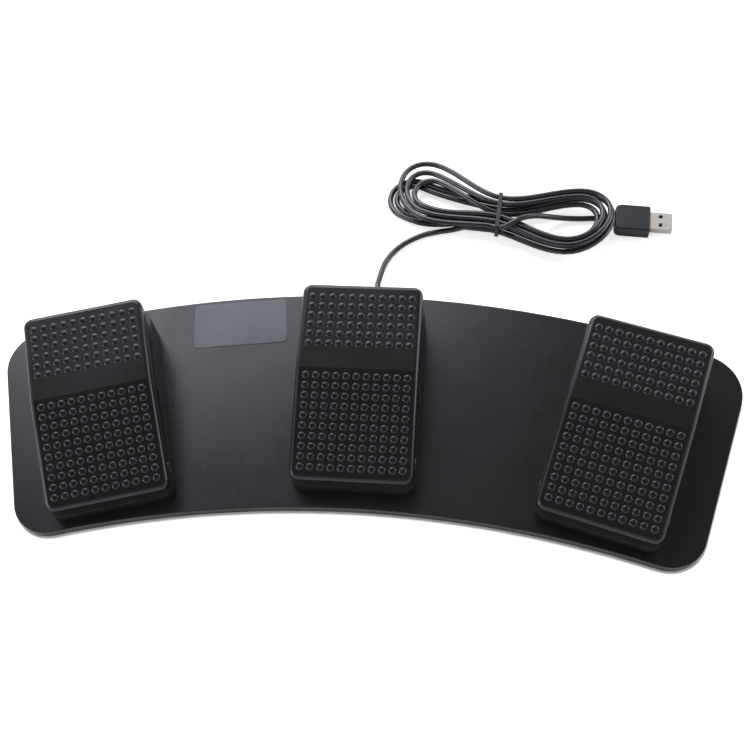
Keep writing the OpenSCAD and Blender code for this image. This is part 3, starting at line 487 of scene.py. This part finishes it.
# %% Treadle lid
TREAD_W, HEEL_V, TOE_V, FOLD_Z, SKIRT = 66.8, -58.014, 49.153, 43.5, 9.4
HEEL_TILT, TOE_TILT = math.radians(18), math.radians(7.7)
HINGE_V, HINGE_Z, BUTTON_V, SPRING_V = -43.5144, 22.0011, -24.0144, 11
ROOF, WALL, CORNER, RIM_R = 3.154, 3, 5, 2.6


def top_z(v):
    return FOLD_Z + v * math.tan(HEEL_TILT if v < 0 else TOE_TILT)


def folded_box(width, heel, toe, drop, corner):
    bm = bmesh.new()
    bmesh.ops.create_cube(bm, size=1)
    stretch = Matrix.Translation((0, (heel + toe) / 2, 0)) @ Matrix.Diagonal((width, toe - heel, 1, 1))
    bmesh.ops.transform(bm, matrix=stretch, verts=bm.verts)
    bmesh.ops.bisect_plane(bm, geom=everything(bm), plane_co=(0, 0, 0), plane_no=(0, 1, 0))
    for v in bm.verts:
        v.co.z = top_z(v.co.y) - (drop if v.co.z > 0 else SKIRT)
    posts = [e for e in bm.edges if (e.verts[0].co - e.verts[1].co).xy.length < 0.01 and abs(e.verts[0].co.y) > 1]
    round_edges(bm, posts, corner, 7)
    bm.normal_update()
    bmesh.ops.delete(bm, geom=[f for f in bm.faces if f.normal.z < -0.8], context="FACES_ONLY")
    for v in bm.verts:
        if v.co.y < 0:
            lean = (top_z(v.co.y) - v.co.z) * math.tan(HEEL_TILT) * v.co.y / heel
            v.co += Vector((0, lean, lean * math.tan(HEEL_TILT)))
    bm.normal_update()
    return bm


lid = folded_box(TREAD_W, HEEL_V, TOE_V, 0, CORNER)
rim = [e for e in lid.edges if sorted(f.normal.z > 0.8 for f in e.link_faces) == [False, True]]
round_edges(lid, rim, RIM_R, 6)
lid.normal_update()
for e in lid.edges:
    if len(e.link_faces) == 2 and all(f.normal.z > 0.94 for f in e.link_faces) and e.calc_face_angle() > 0.1:
        e.smooth = False
inside = folded_box(TREAD_W - 2 * WALL, HEEL_V + WALL, TOE_V - WALL, ROOF, CORNER - WALL)
bmesh.ops.reverse_faces(inside, faces=inside.faces)
add_part(lid, inside)
bmesh.ops.bridge_loops(lid, edges=[e for e in lid.edges if e.is_boundary])
bmesh.ops.recalc_face_normals(lid, faces=lid.faces)
print("lid", len(lid.faces), "faces,", len([e for e in lid.edges if e.is_boundary]), "open edges")

# %% [markdown]
# ## Grip studs
# The treadle's top is covered in low round studs, eleven across. One stud is half a ball whose rings are set to a
# flat top and a steep rim, so that light catches it as a ring. The spin operator with no angle and a step makes a
# row of copies, and once more makes rows of rows, so that a hundred and seventy studs cost two lines. Each has only
# five dozen faces, because there are over five hundred of them.

# %% Studs
STUD_PITCH, STUD_R, STUD_H, STUDS_ACROSS = 5.5, 2.15, 0.68, 11
TOE_ROWS, TOE_FIRST, HEEL_ROWS, HEEL_FIRST = 6, 14.2, 10, 4.4


def stud_field(tilt, rows, first, way):
    bm = bmesh.new()
    bmesh.ops.create_uvsphere(bm, u_segments=12, v_segments=10, radius=1)
    bmesh.ops.delete(bm, geom=[v for v in bm.verts if v.co.z < -0.01], context="VERTS")
    for v in bm.verts:
        v.co.z = 1 - v.co.xy.length ** 4
    first_u = -(STUDS_ACROSS - 1) / 2 * STUD_PITCH
    dome = Matrix.Translation((first_u, way * first, -0.02)) @ Matrix.Diagonal((STUD_R, STUD_R, STUD_H, 1))
    bmesh.ops.transform(bm, matrix=dome, verts=bm.verts)
    faces = len(bm.faces)
    for step, count in (((STUD_PITCH, 0, 0), STUDS_ACROSS - 1), ((0, way * STUD_PITCH, 0), rows - 1)):
        bmesh.ops.spin(bm, geom=everything(bm), cent=(0, 0, 0), axis=(0, 0, 1), angle=0, dvec=step, steps=count,
                       use_duplicate=True)
    slope = Matrix.Translation((0, 0, FOLD_Z)) @ Matrix.Rotation(tilt, 4, "X")
    bmesh.ops.transform(bm, matrix=slope, verts=bm.verts)
    print("studs", len(bm.faces) // faces, "of", faces, "faces")
    return bm


add_part(lid, stud_field(TOE_TILT, TOE_ROWS, TOE_FIRST, 1))
add_part(lid, stud_field(HEEL_TILT, HEEL_ROWS, HEEL_FIRST, -1))

# %% [markdown]
# ## Under the treadle
# Below the lid sit the ears that the hinge pin goes through, the presser that meets the switch button, the peg that
# centres the spring, and the hook that stops the treadle from opening. They are small turned or bent shapes, each
# sunk a little into the lid.

# %% Ears, presser, peg and hook
def turned(radius1, radius2, depth, matrix, rounding=0.3, segments=32):
    bm = bmesh.new()
    bmesh.ops.create_cone(bm, cap_ends=True, segments=segments, radius1=radius1, radius2=radius2, depth=depth)
    rims = [e for e in bm.edges if abs(e.verts[0].co.z - e.verts[1].co.z) < 0.001]
    round_edges(bm, rims, rounding, 2)
    bmesh.ops.transform(bm, matrix=matrix, verts=bm.verts)
    return bm


def lying(u, v, z):
    return Matrix.Translation((u, v, z)) @ Matrix.Rotation(math.pi / 2, 4, "Y")


EAR_R, EAR_U, PRESSER_TIP, PEG_R, PEG_LENGTH = 3.8, 31.7, 26.5075, 2.9, 5
for way in (-1, 1):
    add_part(lid, turned(EAR_R, EAR_R, WALL, lying(way * EAR_U, HINGE_V, HINGE_Z), 0.4, 40))
presser_top = top_z(BUTTON_V) - ROOF / 2
add_part(lid, turned(1.4, 3.0, presser_top - PRESSER_TIP,
                     Matrix.Translation((0, BUTTON_V, (presser_top + PRESSER_TIP) / 2))))
peg_low, peg_length = top_z(SPRING_V) - ROOF - PEG_LENGTH, PEG_LENGTH + ROOF / 2
add_part(lid, turned(PEG_R, PEG_R, peg_length, Matrix.Translation((0, SPRING_V, peg_low + peg_length / 2)), 0.5))

# %% Hook
HOOK_V, HOOK_Z, HOOK_DROP, HOOK_W, HOOK_REACH = 33, 27.447, 2.4, 12, 2.6
hook = bmesh.new()
bmesh.ops.create_cube(hook, size=1)
hook_low, hook_high = HOOK_Z - HOOK_DROP, top_z(HOOK_V) - ROOF / 2
bmesh.ops.transform(hook, matrix=Matrix.Translation((0, HOOK_V, (hook_low + hook_high) / 2))
                    @ Matrix.Diagonal((HOOK_W, WALL, hook_high - hook_low, 1)), verts=hook.verts)
bmesh.ops.bisect_plane(hook, geom=everything(hook), plane_co=(0, 0, HOOK_Z), plane_no=(0, 0, 1))
hook.normal_update()
foot = [f for f in hook.faces if f.normal.y < -0.9 and f.calc_center_median().z < HOOK_Z]
reach = bmesh.ops.extrude_face_region(hook, geom=foot)
bmesh.ops.delete(hook, geom=foot, context="FACES")
bmesh.ops.translate(hook, vec=(0, -HOOK_REACH, 0), verts=new_verts(reach))
bmesh.ops.recalc_face_normals(hook, faces=hook.faces)
round_edges(hook, [e for e in hook.edges if e.is_convex and e.calc_face_angle() > 1], 0.3, 2)
add_part(lid, hook)

# %% Three treadles
lid_mesh = bpy.data.meshes.new("lid")
lid.to_mesh(lid_mesh)
lid.free()
for side, i in SIDES.items():
    bm = bmesh.new()
    bm.from_mesh(lid_mesh)
    bmesh.ops.transform(bm, matrix=pedal_place(i), verts=bm.verts)
    make_piece(side + "_lid", bm, side + "_treadle", treadle_black, "treadle_plastic", side + "_treadle")

# %% [markdown]
# ## Bases, pins, springs and switches
# Each base is the CAD wedge with its edges broken, because no mould leaves them knife-sharp: its triangles are
# merged, flat ones joined, and a bevel modifier rounds what is left. The springs are wound for real: a small
# ring spun about the spring's axis while it climbs, with a closed turn at either end that lies flat in its cup.

# %% Bases, pins and switches
PIN_R, PIN_PROUD, BUTTON_LOW, BUTTON_LENGTH = 1.5, 0.7, 16, 10.2075
for side, i in SIDES.items():
    soft_edged(side + "_base_shell", side + "_base", 0.7, "board", base_black, "base_plastic")
    soft_edged(side + "_switch_body", side + "_switch", 0.25, "board", switch_black, "switch_plastic")
    pin = turned(PIN_R, PIN_R, TREAD_W + 2 * PIN_PROUD, lying(0, HINGE_V, HINGE_Z), 0.35)
    bmesh.ops.transform(pin, matrix=pedal_place(i), verts=pin.verts)
    make_piece(side + "_pin", pin, "board", dark_steel, "bright_steel", side + "_hinge_pin")
    stand = Matrix.Translation((0, BUTTON_V, BUTTON_LOW + BUTTON_LENGTH / 2))
    button = turned(PIN_R, PIN_R, BUTTON_LENGTH, stand, 0.35)
    bmesh.ops.transform(button, matrix=pedal_place(i), verts=button.verts)
    make_piece(side + "_push_button", button, side + "_button", button_red, "button_plastic", side + "_button")


# %% Springs
COIL_R, WIRE_R, END_CLIMB, COIL_TURNS = 5.35, 0.65, 1.4, 4.5


def wound_spring(low, high):
    bm = bmesh.new()
    stand = Matrix.Translation((COIL_R, 0, low + WIRE_R)) @ Matrix.Rotation(math.pi / 2, 4, "X")
    bmesh.ops.create_circle(bm, segments=10, radius=WIRE_R, matrix=stand)
    wire = everything(bm)
    middle_climb = high - low - 2 * END_CLIMB - 2 * WIRE_R
    for turns, climb in ((1, END_CLIMB), (COIL_TURNS, middle_climb), (1, END_CLIMB)):
        steps = round(20 * turns)
        made = bmesh.ops.spin(bm, geom=wire, cent=(0, 0, 0), axis=(0, 0, 1), angle=2 * math.pi * turns,
                              dvec=(0, 0, climb / steps), steps=steps)
        wire = made["geom_last"]
    bmesh.ops.edgeloop_fill(bm, edges=[e for e in bm.edges if e.is_boundary])
    bmesh.ops.recalc_face_normals(bm, faces=bm.faces)
    return bm


SPRING_LOW, SPRING_HIGH = 18.7593, 40.7216
for side, i in SIDES.items():
    coil = wound_spring(SPRING_LOW, SPRING_HIGH)
    bmesh.ops.transform(coil, matrix=pedal_place(i) @ Matrix.Translation((0, SPRING_V, 0)), verts=coil.verts)
    spring = make_piece(side + "_coil", coil, "board", bright_steel, "bright_steel", side + "_spring", sharp=60)
    foot = pedal_place(i) @ Vector((0, SPRING_V, SPRING_LOW))
    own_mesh(spring)

# %% [markdown]
# ## Plate, feet and screws
# Under the cover lies a steel plate, whose edge shows as a pale line along the front. It stands on six round rubber
# feet, and the screws go in from below. A screw's head is a rounded disc, and its cross is cut by slicing
# the head's face with four pairs of planes and sinking the cells in the middle.

# %% Plate and feet
FEET = ((0, -46.532), (0, 68.635), (-169.101, -56.438), (-187.69, 11.049), (169.101, -56.438), (187.69, 11.049))
FOOT_H = 1.5
soft_edged("plate", "base_plate", 0.25, "board", plate_steel, "plate_steel")
feet = bmesh.new()
for x, y in FEET:
    add_part(feet, turned(6.8, 7, FOOT_H, IN_MM @ Matrix.Translation((x, y, FOOT_H / 2)), 0.3, 48))
make_piece("feet", feet, "board", foot_rubber, "foot_rubber", "rubber_feet")

# %% Screws
HEAD_R, HEAD_H, HEAD_Z, SHANK_R, SHANK_LOW = 2.7, 1.1, 0.95, 1.3, 1.45
CROSS_ARM, CROSS_HALF, CROSS_DEPTH = 1.5, 0.32, 0.6
PEDAL_TIP, EDGE_TIP = 13, 6.7
EDGE_SCREWS = ((79.668, 59.721), (65.305, -46.513), (-79.668, 59.721), (-65.305, -46.513))


def screw(tip):
    bm = turned(HEAD_R, HEAD_R, HEAD_H, Matrix.Translation((0, 0, HEAD_Z)), 0.3, 28)
    for axis in (Vector((1, 0, 0)), Vector((0, 1, 0))):
        for d in (-CROSS_ARM, -CROSS_HALF, CROSS_HALF, CROSS_ARM):
            bm.normal_update()
            face = [f for f in bm.faces if f.normal.z < -0.99]
            cut = list({*face, *(e for f in face for e in f.edges), *(v for f in face for v in f.verts)})
            bmesh.ops.bisect_plane(bm, geom=cut, plane_co=axis * d, plane_no=axis)
    bm.normal_update()
    cells = [(f, [abs(c) for c in f.calc_center_median().xy]) for f in bm.faces if f.normal.z < -0.99]
    cross = [f for f, c in cells if max(c) < CROSS_ARM and min(c) < CROSS_HALF]
    sunk = bmesh.ops.extrude_face_region(bm, geom=cross)
    bmesh.ops.delete(bm, geom=cross, context="FACES")
    bmesh.ops.translate(bm, vec=(0, 0, CROSS_DEPTH), verts=new_verts(sunk))
    middle = Matrix.Translation((0, 0, (tip + SHANK_LOW) / 2))
    add_part(bm, turned(SHANK_R, SHANK_R, tip - SHANK_LOW, middle, 0.2, 20))
    return bm


pedal_screws, edge_screws = bmesh.new(), bmesh.new()
for i in SIDES.values():
    for u in (-28.5, 28.5):
        for v in (-52.1144, 46.2528):
            one = screw(PEDAL_TIP)
            bmesh.ops.transform(one, matrix=pedal_place(i) @ Matrix.Translation((u, v, 0)), verts=one.verts)
            add_part(pedal_screws, one)
for x, y in EDGE_SCREWS:
    one = screw(EDGE_TIP)
    bmesh.ops.transform(one, matrix=IN_MM @ Matrix.Translation((x, y, 0)), verts=one.verts)
    add_part(edge_screws, one)
make_piece("long_screws", pedal_screws, "board", bright_steel, "bright_steel", "pedal_screws")
make_piece("short_screws", edge_screws, "board", bright_steel, "bright_steel", "edge_screws")

# %% [markdown]
# ## The bare label
# A thin satin plate lies on the board between the left and centre pedals. It stays bare. A flat box with rounded
# corners would do, so that is what it is, with its upper rim broken a little to catch the light.

# %% Label
LABEL_SIZE, LABEL_R, LABEL_Z, LABEL_TURN = (55, 29.5, 0.3), 591, 9.13, math.radians(7.4)
label = bmesh.new()
bmesh.ops.create_cube(label, size=1)
bmesh.ops.scale(label, vec=LABEL_SIZE, verts=label.verts)
round_edges(label, [e for e in label.edges if (e.verts[0].co - e.verts[1].co).xy.length < 0.01], 3, 7)
round_edges(label, [e for e in label.edges if all(v.co.z > 0.1 for v in e.verts)], 0.12, 2)
on_board = Matrix.Rotation(LABEL_TURN, 4, "Z") @ Matrix.Translation((0, LABEL_R, LABEL_Z))
bmesh.ops.transform(label, matrix=IN_MM @ Matrix.Translation((0, -FAN_Y, 0)) @ on_board, verts=label.verts)
make_piece("label", label, "board", label_satin, "label_foil")

# %% [markdown]
# ## Strain relief, tie and plug
# The strain relief is a ribbed sleeve: its half profile is spun once round the cable. The tie is a flat band: a
# rounded rectangle drawn round the waist of the hank, pulled out to the band's width and given a thickness. The
# plug's grip is a box that narrows to the cable, with its edges rounded, and its metal end keeps the CAD's windows.

# %% Strain relief
SLEEVE_Y = BACK_Y - 3.5
gland = bmesh.new()
profile = [(0, 0), (2.1, 0), (2.1, 5.3), (1.75, 5.8), (1.75, 6.7), (2.03, 7.2), (2.03, 8.4), (1.75, 8.9), (1.75, 9.7),
           (2.0, 10.2), (2.0, 11.1), (1.75, 11.5), (0, 11.5)]
verts = [gland.verts.new((r, y, 0)) for r, y in profile]
edges = [gland.edges.new(pair) for pair in zip(verts, verts[1:])]
bmesh.ops.spin(gland, geom=verts + edges, cent=(0, 0, 0), axis=(0, 1, 0), angle=2 * math.pi, steps=32, use_merge=True)
bmesh.ops.remove_doubles(gland, verts=gland.verts, dist=0.001)
bmesh.ops.recalc_face_normals(gland, faces=gland.faces)
bmesh.ops.transform(gland, matrix=IN_MM @ Matrix.Translation((CABLE_X, SLEEVE_Y, CABLE_Z)), verts=gland.verts)
make_piece("sleeve", gland, "board", cable_black, "cable_jacket", "strain_relief")

# %% Tie
TIE_LOW, TIE_HIGH, TIE_MID, TIE_HALF = 2.85, 11.15, -0.75, 13.6
TIE_ALONG, TIE_TURN, TIE_WIDTH, TIE_THICK = 0.4, math.radians(9.6), 2.4, 0.85
band = bmesh.new()
bmesh.ops.create_grid(band, x_segments=1, y_segments=1, size=0.5)
bmesh.ops.scale(band, vec=(2 * TIE_HALF, TIE_HIGH - TIE_LOW, 1), verts=band.verts)
bmesh.ops.bevel(band, geom=band.verts[:], offset=1.6, segments=6, profile=0.5, affect="VERTICES", material=-1)
bmesh.ops.delete(band, geom=band.faces[:], context="FACES_ONLY")
pulled = bmesh.ops.extrude_edge_only(band, edges=band.edges[:])
bmesh.ops.translate(band, vec=(0, 0, TIE_WIDTH), verts=new_verts(pulled))
bmesh.ops.recalc_face_normals(band, faces=band.faces)
bmesh.ops.solidify(band, geom=band.faces[:], thickness=-TIE_THICK)
bmesh.ops.recalc_face_normals(band, faces=band.faces)
upright = Matrix(((0, 0, 1, 0), (1, 0, 0, 0), (0, 1, 0, 0), (0, 0, 0, 1)))
bmesh.ops.transform(band, matrix=IN_MM @ Matrix.Translation((*HANK_AT, 0)) @ Matrix.Rotation(HANK_TURN, 4, "Z")
                    @ Matrix.Translation((TIE_ALONG, TIE_MID, (TIE_LOW + TIE_HIGH) / 2))
                    @ Matrix.Rotation(TIE_TURN, 4, "Z") @ upright, verts=band.verts)
make_piece("tie_band", band, "board", tie_grey, "tie_plastic", "hank_tie", sharp=50)

# %% Plug
GRIP_SIZE = (21.2, 18.4, 8.4)
at_plug = IN_MM @ Matrix.Translation(PLUG_AT) @ Matrix.Rotation(PLUG_TURN, 4, "Z")
grip = bmesh.new()
bmesh.ops.create_cube(grip, size=1)
bmesh.ops.transform(grip, matrix=Matrix.Translation((GRIP_SIZE[0] / 2, 0, 0)) @ Matrix.Diagonal((*GRIP_SIZE, 1)),
                    verts=grip.verts)
round_edges(grip, [e for e in grip.edges if all(v.co.x < 0.1 for v in e.verts)
                   and abs(e.verts[0].co.z - e.verts[1].co.z) > 1], 3.6, 3)
round_edges(grip, [e for e in grip.edges if e.calc_face_angle() > 0.7], 0.9, 3)
bmesh.ops.transform(grip, matrix=at_plug, verts=grip.verts)
make_piece("plug_body", grip, "board", grip_black, "grip_plastic", "plug_grip")
soft_edged("plug_case", "plug_shell", 0.12, "board", plug_metal, "plug_metal")

# %% [markdown]
# ## Wires inside
# A thin wire runs from each switch to the controller board under the centre pedal, and the cable goes on inside to the
# same board. They follow the CAD's routes as soft curves.

# %% Wires
def pedal_point(i, u, v, z):
    return pedal_place(i) @ Vector((u, v, z))


WIRE_Z, WIRE_CLEAR, WIRE_THICK = 4.3, 29.5, 1  # height on the plate, distance kept from a pedal's middle, radius


def side_wire(i):
    """Down from the switch, along the plate on an arc of the fan, and up to the controller board."""
    lane, fan = FAN_R + BUTTON_V, math.radians(FAN_ANGLE)
    short = WIRE_CLEAR / lane
    points = [pedal_point(i, -i * u, BUTTON_V, z)
              for u, z in ((14, 12), (16.2, 12), (19.6, 9.6), (21.2, 6.4), (24.1, WIRE_Z))]
    for k in range(5):
        a = math.pi / 2 - i * (fan - short - (fan - 2 * short) * k / 4)
        points.append(Vector((lane * math.cos(a), lane * math.sin(a) - FAN_Y, WIRE_Z)) * MM)
    return points + [pedal_point(0, i * u, BUTTON_V + v, z) for u, v, z in (
        (24.1, 0, WIRE_Z), (21.2, 0, 6.4), (19.6, 0.5, 10.4), (17.5, 6, 13.5), (15.5, 13, 14.9), (15, 19, 14.7),
        (15, 22, 14.7))]


wire_routes = dict(left=side_wire(-1), right=side_wire(1), centre=[
    pedal_point(0, u, BUTTON_V + v, z) for u, v, z in ((14, 0, 12), (16, 0, 12), (15.6, 5, 13), (11.5, 10, 14.5),
                                                      (10, 15, 14.8), (10, 19, 14.7), (10, 21.5, 14.7))])
for side, points in wire_routes.items():
    wire = cord_piece(side + "_lead_wire", straight_ends(points, 4), WIRE_THICK, "wire_jacket", side + "_wire")
    wire.data.materials.append(wire_red)
inner = [(SLEEVE_Y, CABLE_Z), (SLEEVE_Y - 2 * CORD_R, CABLE_Z)] + [(FAN_R - FAN_Y + v, z) for v, z in (
    (50, CABLE_Z), (47.5, 5.3), (45, 6.3), (43, 8), (41, 10.2), (39, 12.6), (37, 14.6), (34.5, 15.7), (31, 15.9),
    (26, 15.4))]
inner_route = straight_ends([Vector((CABLE_X, y, z)) * MM for y, z in inner], 4)
inner_cable = cord_piece("cable_inside", inner_route, CORD_R, "cable_jacket", "inner_cable")
inner_cable.data.materials.append(cable_black)

# %% [markdown]
# ## Floor and light
# The object lies on a plain white floor that fills the picture. The floor glows a little only for what the camera,
# gloss and glass see, so that it comes out white without more light on the object, and it keeps a soft shadow.
# Four large soft lamps stand like windows: two behind, which draw the sheen on the board, and one low on either side,
# which draw the rings on the studs.

# %% Floor
floor_mesh = bpy.data.meshes.new("floor")
bm = bmesh.new()
bmesh.ops.create_grid(bm, x_segments=1, y_segments=1, size=6)
bm.to_mesh(floor_mesh)
bm.free()
floor = bpy.data.objects.new("floor", floor_mesh)
bpy.context.scene.collection.objects.link(floor)
floor_white, nodes, links, shader = new_material("floor_white")
shader.inputs["Base Color"].default_value = (0.9, 0.9, 0.9, 1)
shader.inputs["Roughness"].default_value = 0.9
shader.inputs["Specular IOR Level"].default_value = 0.0
shader.inputs["Emission Color"].default_value = (1, 1, 1, 1)
path = nodes.new("ShaderNodeLightPath")
glow = None
for ray, strength in (("Is Camera Ray", 0.6), ("Is Transmission Ray", 0.5), ("Is Glossy Ray", 0.1)):
    part = nodes.new("ShaderNodeMath")
    part.operation = "MULTIPLY_ADD"
    part.inputs[1].default_value, part.inputs[2].default_value = strength, 0
    links.new(path.outputs[ray], part.inputs[0])
    if glow:
        links.new(glow.outputs[0], part.inputs[2])
    glow = part
links.new(glow.outputs[0], shader.inputs["Emission Strength"])
floor_mesh.materials.append(floor_white)
print("floor", len(floor_mesh.polygons), "face")


# %% Lights
def soft_light(name, azimuth, elevation, distance, size, power):
    data = bpy.data.lights.new(name, "AREA")
    data.shape, data.size, data.size_y, data.energy = "RECTANGLE", size[0], size[1], power
    lamp = bpy.data.objects.new(name, data)
    a, e = math.radians(azimuth), math.radians(elevation)
    away = Vector((math.cos(a) * math.cos(e), math.sin(a) * math.cos(e), math.sin(e)))
    lamp.location = away * distance + Vector((0, 0.03, 0))
    lamp.rotation_mode = "QUATERNION"
    lamp.rotation_quaternion = away.to_track_quat("Z", "Y")
    bpy.context.scene.collection.objects.link(lamp)
    print(name, power, "W")


soft_light("high_window", 116, 51.5, 1.8, (1.15, 0.56), 13)
soft_light("wide_window", 104, 27, 1.8, (2.6, 0.9), 11.5)
soft_light("right_window", 18, 20, 1.7, (1.0, 0.9), 8)
soft_light("left_window", 208, 21, 1.7, (0.8, 0.7), 7)

# %% [markdown]
# The room is what black plastic is seen by. Here it is bright all round at eye level and dark overhead, with a
# bright side behind to the left, so flat tops stay dark while every rounded edge and stud gets a bright crescent.

# %% Room
world = bpy.data.worlds.new("room")
bpy.context.scene.world = world
world.use_nodes = True
nodes, links = world.node_tree.nodes, world.node_tree.links
looking = nodes.new("ShaderNodeTexCoord")


def towards(direction, stops):
    dot = nodes.new("ShaderNodeVectorMath")
    dot.operation = "DOT_PRODUCT"
    dot.inputs[1].default_value = Vector(direction).normalized()
    links.new(looking.outputs["Generated"], dot.inputs[0])
    return ramp(nodes, links, dot.outputs["Value"], [(place, (grey,) * 3) for place, grey in stops])


def brighten(colours, strength, before=None):
    more = nodes.new("ShaderNodeVectorMath")
    more.operation = "MULTIPLY_ADD"
    more.inputs[1].default_value, more.inputs[2].default_value = (strength,) * 3, (0, 0, 0)
    links.new(colours.outputs["Color"], more.inputs[0])
    if before:
        links.new(before.outputs["Vector"], more.inputs[2])
    return more


room = brighten(towards((0, 0, 1), [(0, 1), (0.35, 0.9), (0.6, 0.7), (0.75, 0.4), (0.85, 0.13), (1, 0.06)]), 1.05)
room = brighten(towards((-0.36, 0.84, 0.42), [(0.4, 0), (0.75, 1)]), 0.22, room)
seen = nodes.new("ShaderNodeLightPath")
plain = nodes.new("ShaderNodeMix")
plain.data_type = "RGBA"
links.new(seen.outputs["Is Camera Ray"], plain.inputs[0])
links.new(room.outputs["Vector"], plain.inputs[6])
plain.inputs[7].default_value = (1, 1, 1, 1)
links.new(plain.outputs[2], nodes["Background"].inputs["Color"])
bpy.context.scene.view_settings.view_transform = "Standard"
print("room", len(nodes), "nodes")

# %% [markdown]
# ## The end
# Looks never change the object's size. The last cell brings the scene up to date.

# %% The end
bpy.context.view_layer.update()
